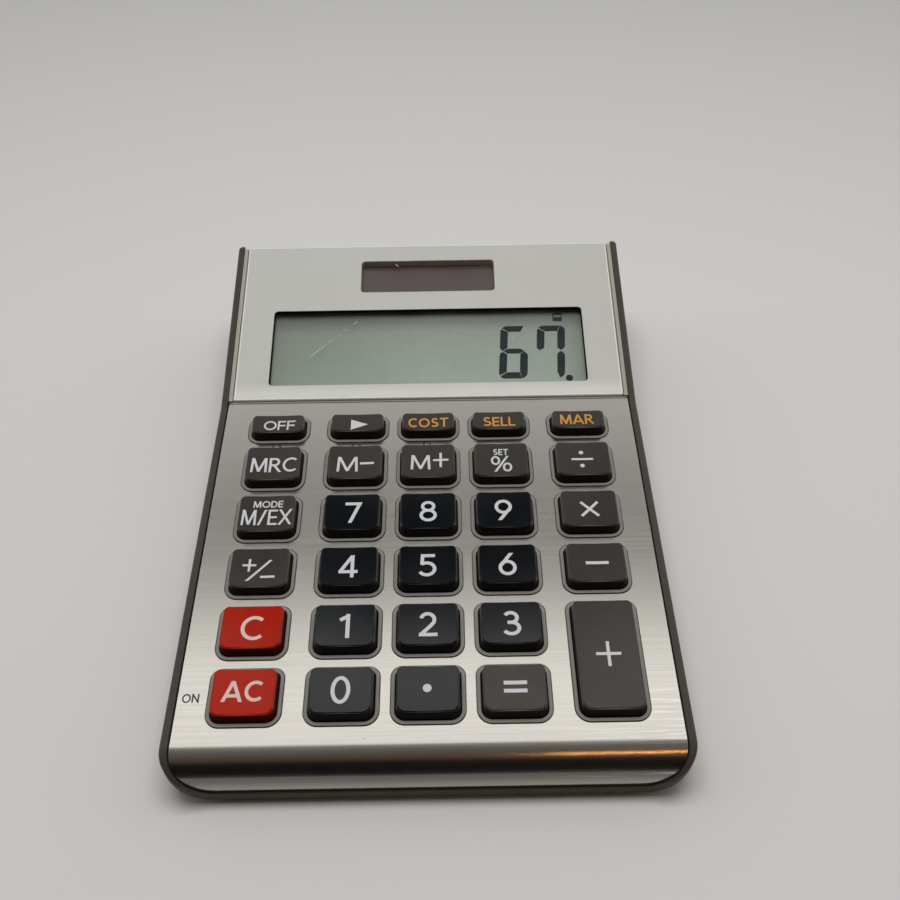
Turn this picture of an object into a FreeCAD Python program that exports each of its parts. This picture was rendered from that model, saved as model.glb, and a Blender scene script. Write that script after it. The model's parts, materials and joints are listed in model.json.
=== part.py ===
import FreeCAD, Part
import math
import os
from FreeCAD import Placement, Rotation, Vector

# A desktop calculator in millimetres. The row frame has +Z up, +X to the right of the
# person using it and +Y away from them, with the origin under the middle of the case.
# Most pieces are drawn in the keypad's own frame: x to the right, y up the keypad from the
# front edge of the front row's holes, and z out of the keypad from the metal's top.

# How the keypad stands on the table, angles in degrees
KEYPAD_TILT = 3.4
PANEL_TILT = 10.9
DECK_HEIGHT = 10.8
FOOT_PROUD = 0.6

# Key grid
COLUMN_PITCH = 17.06
OUTER_COLUMN_PITCH = 19.12
ROW_PITCH = 14.35
FULL_ROWS = 5

# Key caps
KEY_WIDTH = 12.9
KEY_DEPTH = 10.5
SHORT_KEY_DEPTH = 6.14
KEY_RISE = 2.95
KEY_DISH = 0.25
KEY_SIDE_TAPER = 0.3
KEY_END_TAPER = 0.475
KEY_FRONT_CORNER = 2.0
KEY_BACK_CORNER = 1.3
KEY_CORNER_DRAFT = 0.2
KEY_EDGE_ROUND = 0.28
KEY_WALL = 1.0
KEY_ROOF = 1.2
KEY_TRAVEL = 1.3
FLANGE_WIDTH = 0.75
FLANGE_THICKNESS = 0.8
PLUNGER_DIAMETER = 2.4
PLUNGER_DROP = 0.8
LOCATING_DOT_DIAMETER = 1.1
LOCATING_DOT_RISE = 0.25
LOCATING_DOT_ROUND = 0.18
LOCATING_DOT_INSET = 3.6

# Collars of the inner frame round the keys, and the metal's holes round the collars
KEY_CLEARANCE = 0.23
COLLAR_WALL = 0.66
COLLAR_CLEARANCE = 0.24
COLLAR_RISE = 0.2

# Metal faceplate
PLATE_THICKNESS = 0.6
PLATE_SIDE_MARGIN = 5.84
PLATE_REAR_MARGIN = 4.77
BEND_MARGIN = 3.3
PLATE_BEND_RADIUS = 6.6
PLATE_CORNER_RADIUS = 9.0
PLATE_REAR_CORNER = 0.5
TRIM_EASE = 0.01

# Upper case
RAIL_WALL = 1.65
RAIL_CLEARANCE = 0.25
RAIL_PROUD = 0.6
RAIL_PANEL_PROUD = 0.25
RAIL_BEND_RADIUS = 7.3
RIM_TRIM = 0.2
RAIL_EDGE_ROUND = 0.85
CASE_FRONT_CORNER = 6.0
CASE_DIAGONAL_CORNER = 13.0
CASE_DIAGONAL_EASE = 0.6
CASE_REAR_CORNER = 1.0
KNEE_RADIUS = 3.0
REAR_LEAN = 7.8
REAR_MARGIN = 0.5
PARTING_DEPTH = 8.5
LEDGE_WIDTH = 1.95
LEDGE_THICKNESS = 1.5
SEAT_CLEARANCE = 0.1
SHELF_LENGTH = 1.8
POST_DIAMETER = 5.6

# Inner frame
FRAME_THICKNESS = 1.3
FRAME_CLEARANCE = 0.3
FLANGE_CLEARANCE = 0.1
BOSS_DIAMETER = 3.8
STRIP_CLEARANCE = 0.1
STRIP_DROP = 0.1
RIB_RISE = 0.1

# Display panel
PANEL_GROOVE = 0.5
PANEL_PROUD = 0.7
PANEL_SIDE_GAP = 1.15
PANEL_THICKNESS = 1.6
PANEL_CORNER = 0.5
PANEL_EDGE_ROUND = 0.45

# Windows in the panel, in order from its front edge, and the lenses behind them
DISPLAY_FRONT_MARGIN = 4.3
DISPLAY_DEPTH = 23.1
WINDOW_BAR = 5.75
SOLAR_WIDTH = 35.7
SOLAR_DEPTH = 10.5
SOLAR_REAR_MARGIN = 5.45
WINDOW_CORNER = 1.1
LENS_THICKNESS = 0.7
LENS_OVERLAP = 1.5
LENS_CLEARANCE = 0.1

# Display glass and solar cell behind the inner frame
FRAME_WINDOW_MARGIN = 0.5
POCKET_DEPTH = 0.7
POCKET_CLEARANCE = 0.2
GLASS_SIDE_MARGIN = 2.4
GLASS_END_MARGIN = 2.2
GLASS_THICKNESS = 2.0
CELL_MARGIN = 1.4
CELL_THICKNESS = 1.1
HOLDER_WALL = 1.4
HOLDER_LIP = 1.0
HOLDER_LIP_WIDTH = 3.0
HOLDER_LUG = 2.2
HOLDER_SIDE_GAP = 0.5

# Key mat and circuit board
DOME_CLEARANCE = 0.1
DOME_BASE_DIAMETER = 8.4
DOME_TOP_DIAMETER = 4.4
DOME_WALL = 0.6
DOME_PILL_DIAMETER = 3.0
DOME_PILL_THICKNESS = 0.6
MAT_THICKNESS = 0.6
MAT_MARGIN = 2.0
MAT_BOSS_CLEARANCE = 0.3
BOARD_THICKNESS = 1.0
BOARD_POST_GAP = 0.9
BOARD_FRONT_MARGIN = 2.5
BOARD_UNDER_PANEL = 16.08
BOARD_CORNER = 1.5
CHIP_COVER_DIAMETER = 11.0
CHIP_COVER_HEIGHT = 1.6
CHIP_COVER_ROUND = 1.28
CHIP_COVER_PLACE = (8.0, 58.0)
CAPACITOR_DIAMETER = 4.0
CAPACITOR_HEIGHT = 5.0
CAPACITOR_PLACES = ((20.0, 88.0), (26.5, 88.0))
RESISTOR_SIZE = (3.2, 1.6, 0.6)
RESISTOR_PITCH = 4.6
RESISTOR_COUNT = 5
RESISTOR_ROW = 73.0

# Button cell and its clips, under the board
BUTTON_CELL_DIAMETER = 11.6
BUTTON_CELL_HEIGHT = 3.05
BUTTON_CELL_PLACE = (-26.0, 92.0)
BUTTON_CELL_STEP = 0.5
CLIP_THICKNESS = 0.3
CLIP_WIDTH = 5.0
CLIP_FOOT = 3.0
CLIP_GAP = 0.8

# Wires and ribbon
LEAD_DIAMETER = 0.9
LEAD_SPACING = 4.0
RIBBON_THICKNESS = 0.2
RIBBON_HALF_WIDTH = 30.0
RIBBON_LAP = 2.5
RIBBON_MARGIN = 1.0

# Bends of the ribbon: how far forward of the glass and how far up, as shares of its rise
RIBBON_BENDS = ((0.9, 0.0), (0.55, 0.3), (0.4, 0.75))

# Share of a wire's shorter run that its bend may take
WIRE_BEND_SHARE = 0.45

# Back cover, in the row's own frame
SEAM_STEP = 0.3
COVER_WALL = 1.6
COVER_FLOOR = 1.5
COVER_EDGE_ROUND = 0.9
COVER_BOSS_DIAMETER = 7.6
TONGUE_THICKNESS = 1.2
TONGUE_RISE = 1.5
TONGUE_CLEARANCE = 0.15
TONGUE_START = 18.0
LABEL_SIZE = (46.0, 22.0)
LABEL_DEPTH = 0.3
RIB_THICKNESS = 1.2
RIB_HALF_WIDTH = 36.0
RIB_CLEARANCE = 0.3
FOOT_DIAMETER = 8.0
FOOT_SEAT = 0.5
FOOT_CLEARANCE = 0.1
FOOT_SIDE_INSET = 12.0
FOOT_END_INSET = 11.0

# Screws
CASE_SCREW_DIAMETER = 2.5
CASE_SCREW_HEAD = 4.2
CASE_SCREW_HEAD_HEIGHT = 1.3
CASE_SCREW_LENGTH = 5.5
CASE_SCREW_SIDE_INSET = 4.8
CASE_SCREW_FRONT_INSET = 19.5
CASE_SCREW_REAR_INSET = 11.0
CASE_SCREW_SEAT = 2.0
CASE_SCREW_RECESS = 0.15
BOARD_SCREW_DIAMETER = 1.8
BOARD_SCREW_HEAD = 3.2
BOARD_SCREW_HEAD_HEIGHT = 0.9
BOARD_SCREW_LENGTH = 3.0
SCREW_CLEARANCE = 0.05
HEAD_CLEARANCE = 0.3
DRIVE_WIDTH = 0.5
DRIVE_DEPTH = 0.4
PILOT_ROOF = 0.3

# Shares of a screw's head: its rim's rounding of its height, each arm of its cross of its width
HEAD_ROUND_SHARE = 1 / 3
DRIVE_ARM_SHARE = 0.3

# How far a cutting block reaches past the whole, and past a thin piece
REACH = 200.0
CUT = 20.0

# How near an edge lies to a height to be taken as at it
EDGE_EASE = 0.01

# Sizes worked out from the ones above
HOLE_GROWTH = KEY_CLEARANCE + COLLAR_WALL + COLLAR_CLEARANCE
HOLE_DEPTH = KEY_DEPTH + 2 * HOLE_GROWTH
SHORT_HOLE_DEPTH = SHORT_KEY_DEPTH + 2 * HOLE_GROWTH
TALL_KEY_DEPTH = KEY_DEPTH + ROW_PITCH
OUTER_COLUMN = COLUMN_PITCH + OUTER_COLUMN_PITCH
COLUMNS = (-OUTER_COLUMN, -COLUMN_PITCH, 0.0, COLUMN_PITCH, OUTER_COLUMN)
PLATE_HALF_WIDTH = OUTER_COLUMN + KEY_WIDTH / 2 + HOLE_GROWTH + PLATE_SIDE_MARGIN
PLATE_REAR = FULL_ROWS * ROW_PITCH + SHORT_HOLE_DEPTH + PLATE_REAR_MARGIN
RAIL_INNER = PLATE_HALF_WIDTH + RAIL_CLEARANCE
CASE_HALF_WIDTH = RAIL_INNER + RAIL_WALL
THROAT_HALF_WIDTH = RAIL_INNER - LEDGE_WIDTH
FRAME_HALF_WIDTH = RAIL_INNER - FRAME_CLEARANCE
FRAME_BOTTOM = -PLATE_THICKNESS - FRAME_THICKNESS
LEDGE_BOTTOM = FRAME_BOTTOM - LEDGE_THICKNESS
PANEL_FRAME_BOTTOM = -PANEL_THICKNESS - FRAME_THICKNESS
PANEL_LEDGE_BOTTOM = PANEL_FRAME_BOTTOM - LEDGE_THICKNESS
POCKET_TOP = PANEL_FRAME_BOTTOM + POCKET_DEPTH
GLASS_BOTTOM = POCKET_TOP - GLASS_THICKNESS
CELL_BOTTOM = POCKET_TOP - CELL_THICKNESS
FLANGE_TOP = FRAME_BOTTOM - FLANGE_CLEARANCE
FLANGE_BOTTOM = FLANGE_TOP - FLANGE_THICKNESS
PLUNGER_BOTTOM = FLANGE_BOTTOM - PLUNGER_DROP
KEY_INSIDE = KEY_RISE - KEY_DISH - KEY_ROOF
DOME_TOP = PLUNGER_BOTTOM - DOME_CLEARANCE
DOME_ROOF = DOME_TOP - DOME_WALL
PILL_BOTTOM = DOME_ROOF - DOME_PILL_THICKNESS
BOARD_DEPTH = KEY_TRAVEL + DOME_CLEARANCE - PILL_BOTTOM
BOARD_BOTTOM = -BOARD_DEPTH - BOARD_THICKNESS
MAT_TOP = -BOARD_DEPTH + MAT_THICKNESS
BOSS_X = (COLUMN_PITCH + OUTER_COLUMN) / 2
PANEL_START = PLATE_REAR + PANEL_GROOVE
PANEL_HALF_WIDTH = RAIL_INNER - PANEL_SIDE_GAP
HOLDER_LUG_RADIUS = (BOSS_DIAMETER + HOLDER_WALL) / 2
LUG_X = THROAT_HALF_WIDTH - HOLDER_SIDE_GAP - HOLDER_LUG_RADIUS
DISPLAY_WIDTH = 2 * (LUG_X - HOLDER_LUG - GLASS_SIDE_MARGIN)
DISPLAY_REAR = DISPLAY_FRONT_MARGIN + DISPLAY_DEPTH
SOLAR_FRONT = DISPLAY_REAR + WINDOW_BAR
SOLAR_REAR = SOLAR_FRONT + SOLAR_DEPTH
PANEL_LENGTH = SOLAR_REAR + SOLAR_REAR_MARGIN
DISPLAY_OPENING = (DISPLAY_WIDTH, DISPLAY_FRONT_MARGIN, DISPLAY_REAR)
SOLAR_OPENING = (SOLAR_WIDTH, SOLAR_FRONT, SOLAR_REAR)
BOARD_HALF_WIDTH = CASE_HALF_WIDTH - CASE_SCREW_SIDE_INSET - POST_DIAMETER / 2 - BOARD_POST_GAP
BOARD_REAR = PLATE_REAR + BOARD_UNDER_PANEL
BEND_Z = -PLATE_BEND_RADIUS
RAIL_BEND_Z = RAIL_PROUD - RAIL_BEND_RADIUS
TILT = math.radians(KEYPAD_TILT)
PANEL = math.radians(PANEL_TILT)
LEAN = math.radians(REAR_LEAN)


def row_yz(y, z):
    """A point of the keypad frame in the row's axes, before the whole is centred in Y."""
    return (
        y * math.cos(TILT) - z * math.sin(TILT),
        y * math.sin(TILT) + z * math.cos(TILT) + DECK_HEIGHT,
    )


def panel_point(along, up):
    """A point of the panel frame, along it and out of it, in the keypad frame."""
    return (
        PANEL_START + along * math.cos(PANEL) - up * math.sin(PANEL),
        PANEL_PROUD + along * math.sin(PANEL) + up * math.cos(PANEL),
    )


def panel_line_y(up, z):
    """Where a line parallel to the panel, this far out of it, meets a height."""
    start_y, start_z = panel_point(0, up)
    return start_y + (z - start_z) / math.tan(PANEL)


def panel_line_z(up, y):
    """Height of a line parallel to the panel at this place up the keypad."""
    start_y, start_z = panel_point(0, up)
    return start_z + (y - start_y) * math.tan(PANEL)


REAR_TOP_Y = panel_point(PANEL_LENGTH, 0)[0] + REAR_MARGIN
REAR_TOP_Z = panel_line_z(0, REAR_TOP_Y)


def rear_y(z, inset=0.0):
    """Outside of the leaning rear wall at a height of the keypad frame, moved inwards by inset."""
    return REAR_TOP_Y + (REAR_TOP_Z - z) * math.tan(LEAN) - inset / math.cos(LEAN)


def panel_depth_at_rear(panel_depth, inset):
    """Height at which a line parallel to the panel meets the rear wall moved in by inset."""
    start_y, start_z = panel_point(0, panel_depth)
    slope = math.tan(PANEL)
    reach = rear_y(0, inset) - start_y
    return (start_z + slope * reach) / (1 + slope * math.tan(LEAN))


# Depth of the case, from the bend's foremost line and the foot of the rear wall
FRONT_Y = row_yz(-BEND_MARGIN, RAIL_BEND_Z)[0] - RAIL_BEND_RADIUS + RIM_TRIM
REAR_Y = row_yz(rear_y(-PARTING_DEPTH), -PARTING_DEPTH)[0]
CASE_DEPTH = REAR_Y - FRONT_Y
DECK_Y = -(FRONT_Y + REAR_Y) / 2
DECK = Placement(Vector(0, DECK_Y, DECK_HEIGHT), Rotation(Vector(1, 0, 0), KEYPAD_TILT))
PANEL_FRAME = Placement(
    Vector(0, PANEL_START, PANEL_PROUD), Rotation(Vector(1, 0, 0), PANEL_TILT)
)
COVER_BOTTOM = FOOT_PROUD
COVER_INSIDE = COVER_BOTTOM + COVER_FLOOR


def on_deck(shape):
    """Put a shape that was drawn in the keypad frame into the row frame."""
    placed = shape.copy()
    placed.Placement = DECK.multiply(placed.Placement)
    return placed


def on_panel(shape):
    """Put a shape that was drawn in the panel frame into the keypad frame."""
    placed = shape.copy()
    placed.Placement = PANEL_FRAME.multiply(placed.Placement)
    return placed


def block(x0, x1, y0, y1, z0, z1):
    return Part.makeBox(x1 - x0, y1 - y0, z1 - z0, Vector(x0, y0, z0))


def cylinder(x, y, z0, z1, diameter):
    return Part.makeCylinder(diameter / 2, z1 - z0, Vector(x, y, z0), Vector(0, 0, 1))


def joined(shapes):
    """One clean solid from solids that overlap or touch."""
    return shapes[0].multiFuse(shapes[1:]).removeSplitter()


def cut_by(shape, tools):
    """The shape less all the tools."""
    return shape.cut(Part.makeCompound(tools)) if tools else shape


def rounded_wire(half_width, front, back, front_radius, back_radius, z):
    """Closed outline at height z, with its own radius on the front and the back corners."""
    corners = (
        (half_width, front, front_radius, 1, -1),
        (half_width, back, back_radius, 1, 1),
        (-half_width, back, back_radius, -1, 1),
        (-half_width, front, front_radius, -1, -1),
    )
    ends = []
    arcs = []
    for x, y, radius, right, up in corners:
        centre = Vector(x - right * radius, y - up * radius, z)
        ways = [Vector(right, 0, 0), Vector(right, up, 0).normalize(), Vector(0, up, 0)]
        if right != up:
            ways.reverse()
        points = [centre + way * radius for way in ways]
        ends.append((points[0], points[2]))
        arcs.append(Part.Arc(*points).toShape())
    edges = []
    for index, arc in enumerate(arcs):
        edges.append(arc)
        edges.append(Part.LineSegment(ends[index][1], ends[(index + 1) % 4][0]).toShape())
    return Part.Wire(edges)


def rounded_prism(half_width, front, back, front_radius, back_radius, z0, z1):
    """Upright prism with rounded corners, centred on x = 0."""
    wire = rounded_wire(half_width, front, back, front_radius, back_radius, z0)
    return Part.Face(wire).extrude(Vector(0, 0, z1 - z0))


def side_slab(points, half_width):
    """Slab across the case with a side outline of (y, z) corners."""
    corners = [Vector(-half_width, y, z) for y, z in points]
    face = Part.Face(Part.makePolygon(corners + corners[:1]))
    return face.extrude(Vector(2 * half_width, 0, 0))


def bar(y, z, radius, half_width):
    """Round bar across the case."""
    return Part.makeCylinder(radius, 2 * half_width, Vector(-half_width, y, z), Vector(1, 0, 0))


def diagonal_prism(half_width, corner_radius, growth):
    """Prism along the line halfway between up and forward, whose outline trims the metal.

    Seen from above and in front at 45 degrees, the bent plate has plain round corners.
    """
    diagonal = math.sqrt(2)
    front = (-BEND_MARGIN - PLATE_BEND_RADIUS + BEND_Z) / diagonal - TRIM_EASE - growth
    prism = rounded_prism(
        half_width + growth,
        front,
        REACH,
        corner_radius + growth,
        PLATE_REAR_CORNER,
        -REACH,
        REACH,
    )
    prism.Placement = Placement(Vector(0, 0, 0), Rotation(Vector(1, 0, 0), 45))
    return prism


def case_corners(inset):
    """Prism that rounds the case's front corners in line with the metal's, in the row frame."""
    growth = RAIL_CLEARANCE + RAIL_WALL + CASE_DIAGONAL_EASE
    radius = CASE_DIAGONAL_CORNER - growth
    return on_deck(diagonal_prism(PLATE_HALF_WIDTH, radius, growth - inset))


def key_table():
    """Every key: name, column, front edge of its hole, depth of its cap."""
    rows = (
        ("all_clear", "0", "point", "equals"),
        ("clear", "1", "2", "3"),
        ("sign", "4", "5", "6", "minus"),
        ("mode", "7", "8", "9", "multiply"),
        ("recall", "memory_minus", "memory_plus", "set_percent", "divide"),
        ("off", "arrow", "cost", "sell", "margin"),
    )
    keys = [("plus", 4, 0.0, TALL_KEY_DEPTH)]
    for row, names in enumerate(rows):
        depth = SHORT_KEY_DEPTH if row == FULL_ROWS else KEY_DEPTH
        for column, name in enumerate(names):
            keys.append((name, column, row * ROW_PITCH, depth))
    return keys


def key_wire(depth, growth, z, shrink_side=0.0, shrink_end=0.0, shrink_corner=0.0):
    """Outline of a key, or of what surrounds it, from its hole's front edge at y = 0."""
    return rounded_wire(
        KEY_WIDTH / 2 + growth - shrink_side,
        HOLE_GROWTH - growth + shrink_end,
        HOLE_GROWTH + depth + growth - shrink_end,
        KEY_FRONT_CORNER + growth - shrink_corner,
        KEY_BACK_CORNER + growth - shrink_corner,
        z,
    )


def key_prism(key, growth, z0, z1):
    """Prism of a key's outline grown evenly, at its place on the keypad."""
    column, front, depth = key[1:]
    face = Part.Face(key_wire(depth, growth, z0))
    prism = face.extrude(Vector(0, 0, z1 - z0))
    prism.translate(Vector(COLUMNS[column], front, 0))
    return prism


def plunger_places(depth):
    """Where a key presses the mat, from its hole's front edge: two places on a tall key."""
    first = HOLE_GROWTH + min(depth, KEY_DEPTH) / 2
    return [first, first + ROW_PITCH] if depth > KEY_DEPTH else [first]


def round_top_edges(cap):
    """Round every edge of the dished top, which are the edges near the cap's full height."""
    lowest = KEY_RISE - KEY_DISH - EDGE_EASE
    edges = [edge for edge in cap.Edges if edge.BoundBox.ZMin > lowest]
    return cap.makeFillet(KEY_EDGE_ROUND, edges)


def plain_cap(depth):
    """Hollow drafted cap, dished from side to side, with a retaining flange and plungers."""
    lower = key_wire(depth, 0, 0)
    upper = key_wire(depth, 0, KEY_RISE, KEY_SIDE_TAPER, KEY_END_TAPER, KEY_CORNER_DRAFT)
    cap = Part.makeLoft([lower, upper], True, True)
    half_top = KEY_WIDTH / 2 - KEY_SIDE_TAPER
    dish_radius = (half_top**2 + KEY_DISH**2) / (2 * KEY_DISH)
    dish = Part.makeCylinder(
        dish_radius,
        2 * REACH,
        Vector(0, -REACH, KEY_RISE - KEY_DISH + dish_radius),
        Vector(0, 1, 0),
    )
    cap = round_top_edges(cap.cut(dish))
    skirt = Part.Face(key_wire(depth, 0, FLANGE_TOP)).extrude(Vector(0, 0, -FLANGE_TOP))
    flange = Part.Face(key_wire(depth, FLANGE_WIDTH, FLANGE_BOTTOM)).extrude(
        Vector(0, 0, FLANGE_THICKNESS)
    )
    hollow = block(
        -half_top + KEY_WALL,
        half_top - KEY_WALL,
        HOLE_GROWTH + KEY_END_TAPER + KEY_WALL,
        HOLE_GROWTH + depth - KEY_END_TAPER - KEY_WALL,
        FLANGE_BOTTOM,
        KEY_INSIDE,
    )
    cap = joined([cap, skirt, flange]).cut(hollow)
    plungers = [
        cylinder(0, y, PLUNGER_BOTTOM, KEY_INSIDE, PLUNGER_DIAMETER)
        for y in plunger_places(depth)
    ]
    return joined([cap] + plungers)


def locating_dot():
    """Small raised dot a little before the middle of the middle key."""
    top = KEY_RISE - KEY_DISH
    y = HOLE_GROWTH + KEY_END_TAPER + LOCATING_DOT_INSET
    dot = cylinder(0, y, KEY_INSIDE, top + LOCATING_DOT_RISE, LOCATING_DOT_DIAMETER)
    rim = [edge for edge in dot.Edges if edge.BoundBox.ZMin > top]
    return dot.makeFillet(LOCATING_DOT_ROUND, rim)


def key_caps():
    """Every key at its place, by name. Caps of one depth share a form."""
    forms = {}
    caps = {}
    for name, column, front, depth in key_table():
        if depth not in forms:
            forms[depth] = plain_cap(depth)
        cap = forms[depth].copy()
        if name == "5":
            cap = joined([cap, locating_dot()])
        cap.translate(Vector(COLUMNS[column], front, 0))
        caps["key_" + name] = on_deck(cap)
    return caps


def faceplate():
    """Bent sheet with a hole for every collar, its front corners round."""
    bend_y = -BEND_MARGIN
    flat = block(
        -PLATE_HALF_WIDTH, PLATE_HALF_WIDTH, bend_y, PLATE_REAR, -PLATE_THICKNESS, 0
    )
    quarter = block(-REACH, REACH, bend_y - REACH, bend_y, BEND_Z, REACH)
    outer = bar(bend_y, BEND_Z, PLATE_BEND_RADIUS, PLATE_HALF_WIDTH)
    inner = bar(bend_y, BEND_Z, PLATE_BEND_RADIUS - PLATE_THICKNESS, REACH)
    bend = outer.cut(inner).common(quarter)
    plate = joined([flat, bend])
    plate = plate.common(diagonal_prism(PLATE_HALF_WIDTH, PLATE_CORNER_RADIUS, 0))
    holes = [key_prism(key, HOLE_GROWTH, -CUT, CUT) for key in key_table()]
    return on_deck(cut_by(plate, holes))


def seat_profile():
    """Everything above the faceplate's underside and the inner frame's underside."""
    rear = PANEL_START + PANEL_LENGTH + REACH
    knee = panel_line_y(PANEL_FRAME_BOTTOM, FRAME_BOTTOM)
    bottom = BEND_Z - SEAT_CLEARANCE
    shelf_end = SHELF_LENGTH - BEND_MARGIN
    shelf_top = -PLATE_THICKNESS - SEAT_CLEARANCE
    above_bend = side_slab(
        [
            (-REACH, bottom),
            (-BEND_MARGIN, bottom),
            (-BEND_MARGIN, REACH),
            (-REACH, REACH),
        ],
        REACH,
    )
    seat_radius = PLATE_BEND_RADIUS - PLATE_THICKNESS - SEAT_CLEARANCE
    above_bend = above_bend.cut(bar(-BEND_MARGIN, BEND_Z, seat_radius, 2 * REACH))
    above_frame = side_slab(
        [
            (-BEND_MARGIN, shelf_top),
            (shelf_end, shelf_top),
            (shelf_end, FRAME_BOTTOM),
            (knee, FRAME_BOTTOM),
            (rear, panel_line_z(PANEL_FRAME_BOTTOM, rear)),
            (rear, REACH),
            (-BEND_MARGIN, REACH),
        ],
        REACH,
    )
    return joined([above_bend, above_frame])


def lower_cavity(half_width, rear_inset, depth, panel_depth):
    """Space under the inner frame, from the front bar to the rear wall."""
    knee = panel_line_y(panel_depth, depth)
    rear_z = panel_depth_at_rear(panel_depth, rear_inset)
    return side_slab(
        [
            (-BEND_MARGIN, -CUT),
            (-BEND_MARGIN, depth),
            (knee, depth),
            (rear_y(rear_z, rear_inset), rear_z),
            (rear_y(-CUT, rear_inset), -CUT),
        ],
        half_width,
    )


def plan_prism(inset, z0, z1, rear=REACH, rear_corner=CASE_REAR_CORNER / 2):
    """Upright prism of the case's outline seen from above, in the row frame."""
    return rounded_prism(
        CASE_HALF_WIDTH - inset,
        -CASE_DEPTH / 2 + inset,
        rear,
        CASE_FRONT_CORNER - inset,
        rear_corner,
        z0,
        z1,
    )


def case_block():
    """Outside of the upper case as one solid, with its edges rounded."""
    arc_y = -BEND_MARGIN
    bend_start = (arc_y - RAIL_BEND_RADIUS, RAIL_BEND_Z)
    knee_y = panel_line_y(RAIL_PANEL_PROUD, RAIL_PROUD)
    knee_length = KNEE_RADIUS * math.tan(PANEL / 2)
    knee_in = (knee_y - knee_length, RAIL_PROUD)
    knee_out = (
        knee_y + knee_length * math.cos(PANEL),
        RAIL_PROUD + knee_length * math.sin(PANEL),
    )
    knee_mid = (
        knee_in[0] + KNEE_RADIUS * math.sin(PANEL / 2),
        knee_in[1] + KNEE_RADIUS * (1 - math.cos(PANEL / 2)),
    )
    top_z = panel_depth_at_rear(RAIL_PANEL_PROUD, 0)
    rear_top = (rear_y(top_z), top_z)
    rear_bottom = (rear_y(-PARTING_DEPTH), -PARTING_DEPTH)
    front_bottom = (bend_start[0], -PARTING_DEPTH)

    def at(point):
        return Vector(-REACH / 2, point[0], point[1])

    bend_mid = (
        arc_y - RAIL_BEND_RADIUS * math.sin(math.radians(45)),
        RAIL_BEND_Z + RAIL_BEND_RADIUS * math.cos(math.radians(45)),
    )
    bend_end = (arc_y, RAIL_PROUD)
    edges = [
        Part.LineSegment(at(front_bottom), at(bend_start)).toShape(),
        Part.Arc(at(bend_start), at(bend_mid), at(bend_end)).toShape(),
        Part.LineSegment(at(bend_end), at(knee_in)).toShape(),
        Part.Arc(at(knee_in), at(knee_mid), at(knee_out)).toShape(),
        Part.LineSegment(at(knee_out), at(rear_top)).toShape(),
        Part.LineSegment(at(rear_top), at(rear_bottom)).toShape(),
        Part.LineSegment(at(rear_bottom), at(front_bottom)).toShape(),
    ]
    slab = on_deck(Part.Face(Part.Wire(edges)).extrude(Vector(REACH, 0, 0)))
    solid = slab.common(plan_prism(0, -REACH / 4, REACH / 2))
    rear_edges = [
        edge
        for edge in solid.Edges
        if edge.BoundBox.XLength < EDGE_EASE
        and edge.BoundBox.ZLength > REAR_TOP_Z
        and edge.BoundBox.YMin > CASE_DEPTH / 4
    ]
    solid = solid.makeFillet(CASE_REAR_CORNER, rear_edges).common(case_corners(0))
    return solid.makeFillet(RAIL_EDGE_ROUND, top_edges(solid))


def top_edges(solid):
    """Edges round the top of the case: those between a top face and a wall."""
    found = []
    for edge in solid.Edges:
        faces = solid.ancestorsOfType(edge, Part.Face)
        kinds = sorted(looks_up(face) for face in faces)
        if kinds == [False, True]:
            found.append(edge)
    return found


def looks_up(face):
    """Whether a face points mostly upwards at its middle."""
    u0, u1, v0, v1 = face.ParameterRange
    return face.normalAt((u0 + u1) / 2, (v0 + v1) / 2).z > math.sin(math.radians(30))


def screw_places():
    """Case screws in the row frame."""
    x = CASE_HALF_WIDTH - CASE_SCREW_SIDE_INSET
    front = -CASE_DEPTH / 2 + CASE_SCREW_FRONT_INSET
    rear = CASE_DEPTH / 2 - CASE_SCREW_REAR_INSET
    return [(side * x, y) for y in (front, rear) for side in (-1, 1)]


def parting_z(y):
    """Height of the parting plane in the row frame."""
    edge_y, edge_z = row_yz(0, -PARTING_DEPTH)
    return edge_z + (y - DECK_Y - edge_y) * math.tan(TILT)


def screw_seat_z(y):
    """Height of a case screw's seat, a set distance below the parting plane or as near as fits."""
    lowest = COVER_BOTTOM + CASE_SCREW_HEAD_HEIGHT + CASE_SCREW_RECESS
    return max(parting_z(y) - CASE_SCREW_SEAT, lowest)


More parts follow.
